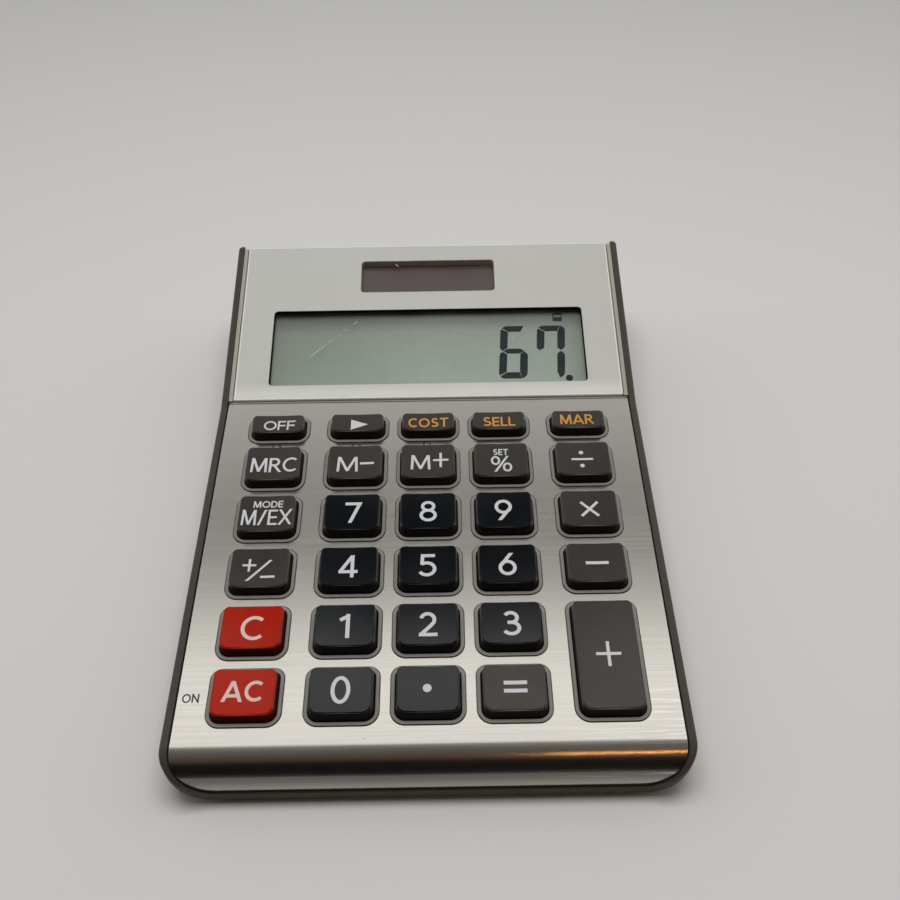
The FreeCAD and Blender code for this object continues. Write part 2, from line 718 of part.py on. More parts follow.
def upper_case():
    """Rails, front rim and rear wall, with a ledge and posts inside."""
    walls = case_block()
    opening = seat_profile().common(
        diagonal_prism(PLATE_HALF_WIDTH, PLATE_CORNER_RADIUS, RAIL_CLEARANCE)
    )
    behind = side_slab(
        [
            (rear_y(-REACH, RAIL_WALL), -REACH),
            (rear_y(REACH / 2, RAIL_WALL), REACH / 2),
            (REACH * 2, REACH / 2),
            (REACH * 2, -REACH),
        ],
        REACH,
    )
    above_rim = side_slab(
        [
            panel_point(0, -PANEL_THICKNESS),
            panel_point(REACH, -PANEL_THICKNESS),
            panel_point(REACH, REACH),
            panel_point(0, REACH),
        ],
        REACH,
    )
    opening = joined([opening.cut(behind), opening.common(above_rim)])
    throat = lower_cavity(
        THROAT_HALF_WIDTH,
        RAIL_WALL + LEDGE_WIDTH,
        FRAME_BOTTOM + TRIM_EASE,
        PANEL_FRAME_BOTTOM + TRIM_EASE,
    )
    throat = throat.cut(
        block(-REACH, REACH, -REACH, SHELF_LENGTH - BEND_MARGIN, -REACH, REACH)
    )
    inside = plan_prism(RAIL_WALL, -REACH / 4, REACH / 2).common(case_corners(RAIL_WALL))
    wide = on_deck(lower_cavity(RAIL_INNER, RAIL_WALL, LEDGE_BOTTOM, PANEL_LEDGE_BOTTOM))
    hollow_radius = LEDGE_BOTTOM - BEND_Z
    front_hollow = joined(
        [
            bar(-BEND_MARGIN, BEND_Z, hollow_radius, RAIL_INNER),
            block(
                -RAIL_INNER, RAIL_INNER, -BEND_MARGIN - hollow_radius, 0, -CUT, BEND_Z
            ),
        ]
    )
    posts = []
    for x, y in screw_places():
        posts.append(cylinder(x, y, 0, REACH / 4, POST_DIAMETER))
        wall_x = math.copysign(RAIL_INNER + RAIL_WALL / 2, x)
        posts.append(
            block(
                min(x, wall_x), max(x, wall_x), y - RIB_THICKNESS / 2, y + RIB_THICKNESS / 2,
                0, REACH / 4,
            )
        )
    room = joined([wide.common(inside), on_deck(front_hollow).common(inside)])
    room = room.cut(Part.makeCompound(posts))
    shell = cut_by(walls, [on_deck(opening), on_deck(throat), room])
    pilots = []
    for x, y in screw_places():
        seat = screw_seat_z(y)
        pilots.append(
            cylinder(
                x, y, 0, seat + CASE_SCREW_LENGTH + HEAD_CLEARANCE,
                CASE_SCREW_DIAMETER + 2 * SCREW_CLEARANCE,
            )
        )
    return cut_by(shell, pilots)


def window_prism(opening, growth, z0, z1, corner=WINDOW_CORNER):
    """Prism of a panel opening grown evenly, in the panel frame."""
    width, start, end = opening
    return rounded_prism(
        width / 2 + growth, start - growth, end + growth, corner, corner, z0, z1
    )


def display_panel():
    """Satin plate with two windows, its three free top edges rounded."""
    plate = rounded_prism(
        PANEL_HALF_WIDTH, 0, PANEL_LENGTH, PANEL_CORNER, PANEL_CORNER, -PANEL_THICKNESS, 0
    )
    top = [edge for edge in plate.Edges if edge.BoundBox.ZMin > -EDGE_EASE]
    plate = plate.makeFillet(PANEL_EDGE_ROUND, top)
    tools = []
    for opening in (DISPLAY_OPENING, SOLAR_OPENING):
        tools.append(window_prism(opening, 0, -2 * PANEL_THICKNESS, PANEL_THICKNESS))
        tools.append(
            window_prism(
                opening,
                LENS_OVERLAP + LENS_CLEARANCE,
                -2 * PANEL_THICKNESS,
                -PANEL_THICKNESS + LENS_THICKNESS,
            )
        )
    return on_deck(on_panel(cut_by(plate, tools)))


def lens(opening):
    """Clear plate in the rebate behind a panel opening."""
    plate = window_prism(
        opening, LENS_OVERLAP, -PANEL_THICKNESS, -PANEL_THICKNESS + LENS_THICKNESS
    )
    return on_deck(on_panel(plate))


def glass_outline(growth, z0, z1):
    """Block of the display glass's outline grown evenly, in the panel frame."""
    width, start, end = DISPLAY_OPENING
    half = width / 2 + GLASS_SIDE_MARGIN + growth
    return block(
        -half, half, start - GLASS_END_MARGIN - growth, end + GLASS_END_MARGIN + growth, z0, z1
    )


def cell_outline(growth, z0, z1):
    """Block of the solar cell's outline grown evenly, in the panel frame."""
    width, start, end = SOLAR_OPENING
    margin = CELL_MARGIN + growth
    return block(-width / 2 - margin, width / 2 + margin, start - margin, end + margin, z0, z1)


def display_glass():
    """Two bonded sheets, the lower one longer at the front to carry the contacts."""
    whole = glass_outline(0, GLASS_BOTTOM, POCKET_TOP)
    ledge_end = DISPLAY_FRONT_MARGIN - GLASS_END_MARGIN + RIBBON_LAP / 2
    ledge = block(-REACH, REACH, -REACH, ledge_end, GLASS_BOTTOM + GLASS_THICKNESS / 2, REACH)
    return on_deck(on_panel(whole.cut(ledge)))


def solar_cell():
    return on_deck(on_panel(cell_outline(0, CELL_BOTTOM, POCKET_TOP)))


def boss_places():
    """Screw bosses that carry the circuit board, on every other row, in the keypad frame."""
    places = []
    for row in range(0, FULL_ROWS, 2):
        y = row * ROW_PITCH + HOLE_DEPTH / 2
        places += [(side * BOSS_X, y) for side in (-1, 1)]
    return places


def lug_places():
    """Screws of the display holder, in the panel frame."""
    inset = DISPLAY_DEPTH / 4
    rows = (DISPLAY_FRONT_MARGIN + inset, DISPLAY_REAR - inset)
    return [(side * LUG_X, y) for y in rows for side in (-1, 1)]


def inner_frame():
    """Moulding with a collar round every key, bent up under the panel and rimming it."""
    rib_y = PLATE_REAR + STRIP_CLEARANCE
    rib_top = (
        PANEL_START - STRIP_CLEARANCE + (PANEL_PROUD - RIB_RISE) * math.tan(PANEL),
        RIB_RISE,
    )
    rib_foot = panel_point(-STRIP_CLEARANCE, -PANEL_THICKNESS)
    under_knee = panel_line_y(PANEL_FRAME_BOTTOM, FRAME_BOTTOM)
    rear_top = panel_depth_at_rear(-PANEL_THICKNESS, RAIL_WALL + FRAME_CLEARANCE)
    rear_low = panel_depth_at_rear(PANEL_FRAME_BOTTOM, RAIL_WALL + FRAME_CLEARANCE)
    front = SHELF_LENGTH - BEND_MARGIN + SEAT_CLEARANCE
    body = side_slab(
        [
            (front, -PLATE_THICKNESS),
            (rib_y, -PLATE_THICKNESS),
            (rib_y, RIB_RISE),
            rib_top,
            rib_foot,
            (rear_y(rear_top, RAIL_WALL + FRAME_CLEARANCE), rear_top),
            (rear_y(rear_low, RAIL_WALL + FRAME_CLEARANCE), rear_low),
            (under_knee, FRAME_BOTTOM),
            (front, FRAME_BOTTOM),
        ],
        FRAME_HALF_WIDTH,
    )
    collars = [
        key_prism(key, KEY_CLEARANCE + COLLAR_WALL, -PLATE_THICKNESS, COLLAR_RISE)
        for key in key_table()
    ]
    bosses = [
        cylinder(x, y, -BOARD_DEPTH, FRAME_BOTTOM, BOSS_DIAMETER) for x, y in boss_places()
    ]
    strip_in = PANEL_HALF_WIDTH + STRIP_CLEARANCE
    strip_out = RAIL_INNER - STRIP_CLEARANCE
    strips = [
        on_panel(
            block(
                min(side * strip_in, side * strip_out),
                max(side * strip_in, side * strip_out),
                0,
                PANEL_LENGTH - PANEL_CORNER,
                -PANEL_THICKNESS,
                -STRIP_DROP,
            )
        )
        for side in (-1, 1)
    ]
    lugs = [
        on_panel(cylinder(x, y, GLASS_BOTTOM, PANEL_FRAME_BOTTOM, BOSS_DIAMETER))
        for x, y in lug_places()
    ]
    frame = joined([body] + collars + bosses + strips + lugs)
    tools = [key_prism(key, KEY_CLEARANCE, -CUT, CUT) for key in key_table()]
    pilot = BOARD_SCREW_DIAMETER + 2 * SCREW_CLEARANCE
    tools += [
        cylinder(x, y, -CUT, -PLATE_THICKNESS - PILOT_ROOF, pilot) for x, y in boss_places()
    ]
    tools += [
        on_panel(cylinder(x, y, -CUT, -PANEL_THICKNESS - PILOT_ROOF, pilot))
        for x, y in lug_places()
    ]
    for opening, outline in ((DISPLAY_OPENING, glass_outline), (SOLAR_OPENING, cell_outline)):
        tools.append(on_panel(window_prism(opening, FRAME_WINDOW_MARGIN, -CUT, CUT)))
        tools.append(on_panel(outline(POCKET_CLEARANCE, -CUT, POCKET_TOP)))
    return on_deck(cut_by(frame, tools))


def display_holder():
    """Ring that clamps the glass from below, open at the front for the ribbon."""
    lip_bottom = GLASS_BOTTOM - HOLDER_LIP
    ring = glass_outline(POCKET_CLEARANCE + HOLDER_WALL, lip_bottom, PANEL_FRAME_BOTTOM)
    lugs = [
        cylinder(x, y, lip_bottom, GLASS_BOTTOM, 2 * HOLDER_LUG_RADIUS)
        for x, y in lug_places()
    ]
    holder = joined([ring] + lugs)
    ribbon_way = block(
        -RIBBON_HALF_WIDTH - RIBBON_MARGIN,
        RIBBON_HALF_WIDTH + RIBBON_MARGIN,
        -REACH,
        DISPLAY_FRONT_MARGIN,
        -REACH,
        REACH,
    )
    tools = [
        glass_outline(POCKET_CLEARANCE, GLASS_BOTTOM, REACH),
        glass_outline(-HOLDER_LIP_WIDTH, -REACH, REACH),
        ribbon_way,
    ]
    for x, y in lug_places():
        tools.append(
            cylinder(x, y, -REACH, REACH, BOARD_SCREW_DIAMETER + 2 * SCREW_CLEARANCE)
        )
        tools.append(
            cylinder(x, y, GLASS_BOTTOM, REACH, BOSS_DIAMETER + 2 * POCKET_CLEARANCE)
        )
    return on_deck(on_panel(cut_by(holder, tools)))


def pan_screw(x, y, seat, diameter, length, head, head_height):
    """Screw that points up from its seat, with a crossed drive cut in its head."""
    top = cylinder(x, y, seat - head_height, seat, head)
    rim = [edge for edge in top.Edges if edge.BoundBox.ZMax < seat - EDGE_EASE]
    top = top.makeFillet(head_height * HEAD_ROUND_SHARE, rim)
    screw = joined([top, cylinder(x, y, seat, seat + length, diameter)])
    reach = head * DRIVE_ARM_SHARE
    half = DRIVE_WIDTH / 2
    z0 = seat - head_height - DRIVE_DEPTH
    z1 = seat - head_height + DRIVE_DEPTH
    slots = [
        block(x - reach, x + reach, y - half, y + half, z0, z1),
        block(x - half, x + half, y - reach, y + reach, z0, z1),
    ]
    return cut_by(screw, slots)


def small_screw(x, y, seat):
    return pan_screw(
        x, y, seat, BOARD_SCREW_DIAMETER, BOARD_SCREW_LENGTH, BOARD_SCREW_HEAD,
        BOARD_SCREW_HEAD_HEIGHT,
    )


def board_screws():
    screws = [small_screw(x, y, BOARD_BOTTOM) for x, y in boss_places()]
    return on_deck(Part.makeCompound(screws))


def display_screws():
    seat = GLASS_BOTTOM - HOLDER_LIP
    screws = [small_screw(x, y, seat) for x, y in lug_places()]
    return on_deck(on_panel(Part.makeCompound(screws)))


def cone(x, y, z0, z1, low_diameter, high_diameter):
    return Part.makeCone(
        low_diameter / 2, high_diameter / 2, z1 - z0, Vector(x, y, z0), Vector(0, 0, 1)
    )


def key_mat():
    """Rubber sheet with a hollow dome and a contact pill under every plunger."""
    rear = FULL_ROWS * ROW_PITCH + SHORT_HOLE_DEPTH + MAT_MARGIN
    sheet = rounded_prism(
        BOARD_HALF_WIDTH - MAT_MARGIN / 2, -MAT_MARGIN, rear, MAT_MARGIN, MAT_MARGIN,
        -BOARD_DEPTH, MAT_TOP,
    )
    domes = []
    hollows = []
    pills = []
    for column, front, depth in (key[1:] for key in key_table()):
        for place in plunger_places(depth):
            x = COLUMNS[column]
            y = front + place
            domes.append(cone(x, y, MAT_TOP, DOME_TOP, DOME_BASE_DIAMETER, DOME_TOP_DIAMETER))
            hollows.append(
                cone(
                    x, y, -BOARD_DEPTH, DOME_ROOF, DOME_BASE_DIAMETER - DOME_WALL,
                    DOME_TOP_DIAMETER - DOME_WALL,
                )
            )
            pills.append(cylinder(x, y, PILL_BOTTOM, DOME_ROOF, DOME_PILL_DIAMETER))
    for x, y in boss_places():
        hollows.append(
            cylinder(x, y, -REACH, REACH, BOSS_DIAMETER + 2 * MAT_BOSS_CLEARANCE)
        )
    mat = cut_by(joined([sheet] + domes), hollows)
    return on_deck(joined([mat] + pills))


def circuit_board():
    board = rounded_prism(
        BOARD_HALF_WIDTH, -BOARD_FRONT_MARGIN, BOARD_REAR, BOARD_CORNER, BOARD_CORNER,
        BOARD_BOTTOM, -BOARD_DEPTH,
    )
    holes = [
        cylinder(x, y, -REACH, REACH, BOARD_SCREW_DIAMETER + 2 * SCREW_CLEARANCE)
        for x, y in boss_places()
    ]
    return on_deck(cut_by(board, holes))


def chip_cover():
    """Low round cap of resin under the board."""
    x, y = CHIP_COVER_PLACE
    low = BOARD_BOTTOM - CHIP_COVER_HEIGHT
    cap = cylinder(x, y, low, BOARD_BOTTOM, CHIP_COVER_DIAMETER)
    rim = [edge for edge in cap.Edges if edge.BoundBox.ZMax < low + EDGE_EASE]
    return on_deck(cap.makeFillet(CHIP_COVER_ROUND, rim))


def board_parts():
    """Capacitors that stand on the board's underside, and a row of resistors."""
    parts = [
        cylinder(x, y, BOARD_BOTTOM - CAPACITOR_HEIGHT, BOARD_BOTTOM, CAPACITOR_DIAMETER)
        for x, y in CAPACITOR_PLACES
    ]
    length, width, height = RESISTOR_SIZE
    for index in range(RESISTOR_COUNT):
        x = index * RESISTOR_PITCH
        parts.append(
            block(
                x, x + length, RESISTOR_ROW, RESISTOR_ROW + width,
                BOARD_BOTTOM - height, BOARD_BOTTOM,
            )
        )
    return on_deck(Part.makeCompound(parts))


def button_cell():
    """Cell with its wide positive can down and its smaller negative cap up."""
    x, y = BUTTON_CELL_PLACE
    top = BOARD_BOTTOM - CLIP_THICKNESS
    shoulder = top - BUTTON_CELL_STEP
    can = cylinder(x, y, top - BUTTON_CELL_HEIGHT, shoulder, BUTTON_CELL_DIAMETER)
    cap = cylinder(x, y, shoulder, top, BUTTON_CELL_DIAMETER - 4 * BUTTON_CELL_STEP)
    return on_deck(joined([can, cap]))


def negative_clip():
    """Flat spring between the board and the cell's negative cap."""
    x, y = BUTTON_CELL_PLACE
    radius = BUTTON_CELL_DIAMETER / 2
    strip = block(
        x - CLIP_WIDTH / 2, x + CLIP_WIDTH / 2, y - radius + 2 * BUTTON_CELL_STEP,
        y + radius + CLIP_FOOT, BOARD_BOTTOM - CLIP_THICKNESS, BOARD_BOTTOM,
    )
    return on_deck(strip)


def positive_clip():
    """Strap under the cell with a foot on the board at each side of it."""
    x, y = BUTTON_CELL_PLACE
    reach = BUTTON_CELL_DIAMETER / 2 + CLIP_GAP
    low = BOARD_BOTTOM - CLIP_THICKNESS - BUTTON_CELL_HEIGHT
    y0 = y - CLIP_WIDTH / 2
    y1 = y + CLIP_WIDTH / 2
    pieces = [
        block(
            x - reach - CLIP_THICKNESS, x + reach + CLIP_THICKNESS, y0, y1,
            low - CLIP_THICKNESS, low,
        )
    ]
    for side in (-1, 1):
        near = x + side * reach
        far = near + side * CLIP_THICKNESS
        foot = far + side * CLIP_FOOT
        pieces.append(block(min(near, far), max(near, far), y0, y1, low, BOARD_BOTTOM))
        pieces.append(
            block(
                min(far, foot), max(far, foot), y0, y1, BOARD_BOTTOM - CLIP_THICKNESS,
                BOARD_BOTTOM,
            )
        )
    return on_deck(joined(pieces))


def strip_profile(points, thickness):
    """Side outline of a thin strip whose upper face follows the points, mitred at each."""
    ways = []
    for start, end in zip(points, points[1:]):
        length = math.dist(start, end)
        ways.append(((end[0] - start[0]) / length, (end[1] - start[1]) / length))
    into = ways[:1] + ways
    out = ways + ways[-1:]
    below = []
    for point, (in_y, in_z), (out_y, out_z) in zip(points, into, out):
        scale = thickness / (1 + in_y * out_y + in_z * out_z)
        below.append((point[0] + (in_z + out_z) * scale, point[1] - (in_y + out_y) * scale))
    return list(points) + below[::-1]


def display_ribbon():
    """Flexible ribbon from the contacts under the glass down to the board's top."""
    lap_start = panel_point(DISPLAY_FRONT_MARGIN, GLASS_BOTTOM)
    lap_end = panel_point(DISPLAY_FRONT_MARGIN - GLASS_END_MARGIN, GLASS_BOTTOM)
    foot = -BOARD_DEPTH + RIBBON_THICKNESS
    rise = lap_end[1] - foot
    bends = [
        (lap_end[0] - rise * forward, foot + rise * up) for forward, up in RIBBON_BENDS
    ]
    points = [(bends[0][0] - RIBBON_LAP, foot)] + bends + [lap_end, lap_start]
    return on_deck(side_slab(strip_profile(points, RIBBON_THICKNESS), RIBBON_HALF_WIDTH))


def routed_tube(points, diameter):
    """Round wire along straight runs joined by arcs."""
    corners = [Vector(*point) for point in points]
    edges = []
    start = corners[0]
    for before, corner, after in zip(corners, corners[1:], corners[2:]):
        into = (corner - before).normalize()
        out = (after - corner).normalize()
        half_turn = into.getAngle(out) / 2
        tangent = WIRE_BEND_SHARE * min((corner - before).Length, (after - corner).Length)
        radius = tangent / math.tan(half_turn)
        arc_start = corner - into * tangent
        arc_end = corner + out * tangent
        inward = (out - into).normalize()
        arc_mid = corner + inward * (radius / math.cos(half_turn) - radius)
        edges.append(Part.LineSegment(start, arc_start).toShape())
        edges.append(Part.Arc(arc_start, arc_mid, arc_end).toShape())
        start = arc_end
    edges.append(Part.LineSegment(start, corners[-1]).toShape())
    path = Part.Wire(edges)
    profile = Part.Wire(
        [Part.Circle(corners[0], corners[1] - corners[0], diameter / 2).toShape()]
    )
    return path.makePipeShell([profile], True, False)


def solar_leads():
    """Two leads from the back of the solar cell to the rear edge of the board."""
    from_y, from_z = panel_point(SOLAR_REAR, CELL_BOTTOM)
    down_y, down_z = panel_point(SOLAR_REAR, CELL_BOTTOM - 3 * LEAD_DIAMETER)
    to_y = BOARD_REAR - 3 * LEAD_DIAMETER
    middle_y = (down_y + to_y) / 2
    leads = []
    for index in (0, 1):
        x = SOLAR_WIDTH / 4 + index * LEAD_SPACING
        points = [
            (x, from_y, from_z),
            (x, down_y, down_z),
            (x, middle_y + LEAD_SPACING, down_z / 2),
            (x, middle_y - LEAD_SPACING, -BOARD_DEPTH / 2),
            (x, to_y, -BOARD_DEPTH + 4 * LEAD_DIAMETER),
            (x, to_y, -BOARD_DEPTH),
        ]
        leads.append(routed_tube(points, LEAD_DIAMETER))
    return on_deck(Part.makeCompound(leads))


def above_parting():
    """Everything over the parting plane."""
    return on_deck(block(-REACH, REACH, -REACH, REACH, -PARTING_DEPTH, REACH))


def foot_places():
    x = CASE_HALF_WIDTH - FOOT_SIDE_INSET
    y = CASE_DEPTH / 2 - FOOT_END_INSET
    return [(side * x, end * y) for end in (-1, 1) for side in (-1, 1)]


def cover_tongue():
    """Wall inside the cover that rises into the upper case, notched at its posts."""
    outer = RAIL_WALL + TONGUE_CLEARANCE
    rear = CASE_DEPTH / 2 - outer - TONGUE_RISE * math.tan(LEAN + TILT)
    ring = plan_prism(outer, COVER_INSIDE, REACH / 4, rear)
    tools = [
        plan_prism(outer + TONGUE_THICKNESS, -REACH, REACH, rear - TONGUE_THICKNESS),
        block(-REACH, REACH, -REACH, -CASE_DEPTH / 2 + TONGUE_START, -REACH, REACH),
        on_deck(
            block(-REACH, REACH, -REACH, REACH, TONGUE_RISE - PARTING_DEPTH, REACH)
        ),
    ]
    half = POST_DIAMETER / 2 + HEAD_CLEARANCE
    for x, y in screw_places():
        tools.append(
            block(x - 2 * half, x + 2 * half, y - half, y + half, -REACH, REACH)
        )
    return cut_by(ring, tools)


def back_cover():
    """Tray with a flat floor, screw bosses, ribs under the board and seats for the feet."""
    outside = plan_prism(
        SEAM_STEP, COVER_BOTTOM, REACH / 4, CASE_DEPTH / 2 - SEAM_STEP, CASE_REAR_CORNER
    ).common(case_corners(SEAM_STEP))
    low_edges = [
        edge for edge in outside.Edges if edge.BoundBox.ZMax < COVER_BOTTOM + EDGE_EASE
    ]
    outside = outside.makeFillet(COVER_EDGE_ROUND, low_edges)
    inset = SEAM_STEP + COVER_WALL
    inside = plan_prism(inset, COVER_INSIDE, REACH, CASE_DEPTH / 2 - inset).common(
        case_corners(inset)
    )
    bosses = [
        cylinder(x, y, COVER_BOTTOM + COVER_FLOOR / 2, REACH / 4, COVER_BOSS_DIAMETER).common(
            plan_prism(SEAM_STEP + COVER_WALL / 2, 0, REACH)
        )
        for x, y in screw_places()
    ]
    shell = joined([outside.cut(inside)] + bosses).cut(above_parting())
    ribs = [
        on_deck(
            block(
                -RIB_HALF_WIDTH, RIB_HALF_WIDTH,
                row * ROW_PITCH - RIB_THICKNESS / 2, row * ROW_PITCH + RIB_THICKNESS / 2,
                -CUT, BOARD_BOTTOM - RIB_CLEARANCE,
            )
        ).cut(block(-REACH, REACH, -REACH, REACH, -REACH, COVER_BOTTOM + COVER_FLOOR / 2))
        for row in range(1, FULL_ROWS, 2)
    ]
    shell = joined([shell, cover_tongue()] + ribs)
    tools = [
        block(
            -LABEL_SIZE[0] / 2, LABEL_SIZE[0] / 2, -LABEL_SIZE[1] / 2, LABEL_SIZE[1] / 2,
            0, COVER_BOTTOM + LABEL_DEPTH,
        )
    ]
    for x, y in foot_places():
        tools.append(
            cylinder(x, y, 0, COVER_BOTTOM + FOOT_SEAT, FOOT_DIAMETER + 2 * FOOT_CLEARANCE)
        )
    for x, y in screw_places():
        seat = screw_seat_z(y)
        tools.append(cylinder(x, y, 0, seat, CASE_SCREW_HEAD + 2 * HEAD_CLEARANCE))
        tools.append(cylinder(x, y, 0, REACH, CASE_SCREW_DIAMETER + 2 * HEAD_CLEARANCE))
    return cut_by(shell, tools)


def rubber_feet():
    """Four round feet seated in the cover."""
    feet = []
    for x, y in foot_places():
        foot = cylinder(x, y, 0, COVER_BOTTOM + FOOT_SEAT, FOOT_DIAMETER)
        rim = [edge for edge in foot.Edges if edge.BoundBox.ZMax < EDGE_EASE]
        feet.append(foot.makeFillet(FOOT_PROUD / 2, rim))
    return Part.makeCompound(feet)


def case_screws():
    screws = [
        pan_screw(
            x, y, screw_seat_z(y), CASE_SCREW_DIAMETER, CASE_SCREW_LENGTH, CASE_SCREW_HEAD,
            CASE_SCREW_HEAD_HEIGHT,
        )
        for x, y in screw_places()
    ]
    return Part.makeCompound(screws)


def all_parts():
    """Every node's shape by name."""
    parts = {
        "upper_case": upper_case(),
        "faceplate": faceplate(),
        "inner_frame": inner_frame(),
        "display_panel": display_panel(),
        "display_window": lens(DISPLAY_OPENING),
        "solar_window": lens(SOLAR_OPENING),
        "display_glass": display_glass(),
        "display_holder": display_holder(),
        "display_screws": display_screws(),
        "display_ribbon": display_ribbon(),
        "solar_cell": solar_cell(),
        "solar_leads": solar_leads(),
        "key_mat": key_mat(),
        "circuit_board": circuit_board(),
        "board_screws": board_screws(),
        "board_parts": board_parts(),
        "chip_cover": chip_cover(),
        "button_cell": button_cell(),
        "negative_clip": negative_clip(),
        "positive_clip": positive_clip(),
        "back_cover": back_cover(),
        "case_screws": case_screws(),
        "rubber_feet": rubber_feet(),
    }
    parts.update(key_caps())
    return parts


def main():
    os.makedirs("parts", exist_ok=True)
    for name, shape in all_parts().items():
        shape.exportStep("parts/" + name + ".step")
        print(name, len(shape.Solids), round(shape.Volume, 1), shape.isValid())
    print("depth", round(CASE_DEPTH, 2), "deck starts at y", round(DECK_Y, 3))


if __name__ == "__main__":
    main()
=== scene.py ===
import json
import math

import bpy
import numpy as np
from bpy.props import FloatProperty, FloatVectorProperty, PointerProperty
from bpy.types import Operator, Panel, PropertyGroup
from mathutils import Matrix


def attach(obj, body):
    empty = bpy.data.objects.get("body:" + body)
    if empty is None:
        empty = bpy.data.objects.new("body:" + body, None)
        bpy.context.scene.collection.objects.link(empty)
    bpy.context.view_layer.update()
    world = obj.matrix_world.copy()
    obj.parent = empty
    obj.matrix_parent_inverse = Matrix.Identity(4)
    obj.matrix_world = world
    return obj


bl_info = {
    "name": "Desktop calculator looks",
    "version": (1, 0, 0),
    "blender": (4, 5, 0),
    "location": "3D View > Sidebar > Calculator",
    "description": "Finishes, key legends, display and studio for a desktop calculator",
    "category": "Object",
}

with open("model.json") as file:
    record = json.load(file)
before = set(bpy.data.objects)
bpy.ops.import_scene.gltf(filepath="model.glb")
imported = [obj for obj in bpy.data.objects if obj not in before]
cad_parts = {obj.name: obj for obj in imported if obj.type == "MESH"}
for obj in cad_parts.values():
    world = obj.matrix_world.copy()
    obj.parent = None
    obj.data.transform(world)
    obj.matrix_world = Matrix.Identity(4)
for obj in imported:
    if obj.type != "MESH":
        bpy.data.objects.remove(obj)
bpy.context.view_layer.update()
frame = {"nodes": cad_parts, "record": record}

MM = 0.001
CASE_BODY = "case"

# Key grid in mm: the middle of each column, the rows' pitch, and how far up from the start of its
# row a key's middle lies
COLUMNS = (-36.18, -17.06, 0.0, 17.06, 36.18)
ROW_PITCH = 14.35
KEY_MIDDLE = 6.38
SHORT_KEY_MIDDLE = 4.2
TALL_KEY_MIDDLE = 13.555
SHORT_KEY_ROW = 5
TALL_KEY = "plus"

# Key, column and row, then its legends. A legend is the text, its middle from the key's middle,
# its width and height, and the width of its strokes, in mm.
LEGENDS = (
    ("off", 0, 5, ("OFF", 0.42, -0.63, 7.47, 2.87, 0.44)),
    ("arrow", 1, 5, ("arrow", 0.55, -0.73, 4.09, 3.19, 0.5)),
    ("cost", 2, 5, ("COST", 0.05, -0.5, 9.6, 2.88, 0.45)),
    ("sell", 3, 5, ("SELL", 0.01, -0.5, 7.7, 2.88, 0.45)),
    ("margin", 4, 5, ("MAR", -0.41, -0.18, 7.94, 3.04, 0.45)),
    ("recall", 0, 4, ("MRC", 0.33, -0.63, 10.72, 4.18, 0.56)),
    ("memory_minus", 1, 4,
     ("M", -1.69, -0.76, 4.89, 4.33, 0.6), ("bar", 2.84, -0.57, 3.26, 0.62, 0.62)),
    ("memory_plus", 2, 4, ("M", -1.74, -0.55, 4.6, 4.25, 0.6), ("+", 2.94, 0.04, 3.59, 4.3, 0.58)),
    ("set_percent", 3, 4,
     ("SET", -0.07, 2.16, 3.52, 1.82, 0.3), ("%", 0.0, -1.36, 4.87, 4.61, 0.5)),
    ("divide", 4, 4,
     ("dot", -0.36, 1.61, 1.05, 1.05, 1.05),
     ("bar", -0.26, -0.36, 5.0, 0.58, 0.58),
     ("dot", -0.39, -2.28, 1.05, 1.05, 1.05)),
    ("mode", 0, 3, ("MODE", 0.25, 2.36, 6.66, 1.82, 0.3), ("M/EX", 0.14, -1.23, 11.06, 4.17, 0.5)),
    ("7", 1, 3, ("7", 0.3, -0.27, 3.62, 5.57, 0.78)),
    ("8", 2, 3, ("8", 0.03, -0.23, 3.86, 5.57, 0.74)),
    ("9", 3, 3, ("9", -0.2, -0.2, 3.88, 5.6, 0.76)),
    ("multiply", 4, 3, ("times", -0.03, -0.34, 4.45, 4.45, 0.63)),
    ("sign", 0, 2,
     ("+", -2.16, 0.53, 2.93, 3.18, 0.5),
     ("/", -0.01, -0.8, 4.82, 5.19, 0.5),
     ("bar", 1.99, -2.42, 3.11, 0.55, 0.55)),
    ("4", 1, 2, ("4", -0.02, -0.12, 4.08, 5.57, 0.76)),
    ("5", 2, 2, ("5", -0.08, -0.16, 3.77, 5.6, 0.76)),
    ("6", 3, 2, ("6", -0.03, -0.2, 3.88, 5.6, 0.76)),
    ("minus", 4, 2, ("bar", 0.1, -0.25, 4.92, 0.72, 0.72)),
    ("clear", 0, 1, ("C", 0.2, -0.33, 4.7, 5.56, 0.77)),
    ("1", 1, 1, ("1", -0.1, -0.21, 2.26, 5.57, 0.83)),
    ("2", 2, 1, ("2", 0.06, -0.08, 3.79, 5.6, 0.78)),
    ("3", 3, 1, ("3", 0.15, -0.17, 3.72, 5.65, 0.78)),
    ("plus", 4, 0, ("+", 0.03, -0.25, 5.05, 5.48, 0.66)),
    ("all_clear", 0, 0, ("AC", -0.03, 0.06, 7.94, 4.4, 0.7)),
    ("0", 1, 0, ("0", -0.05, 0.05, 3.86, 5.84, 0.78)),
    ("point", 2, 0, ("dot", -0.13, 0.13, 1.73, 1.73, 1.73)),
    ("equals", 3, 0, ("bar", 0.12, 0.98, 4.6, 0.8, 0.8), ("bar", 0.1, -0.73, 4.6, 0.8, 0.8)),
)
ORANGE_KEYS = ("cost", "sell", "margin")
RED_KEYS = ("clear", "all_clear")

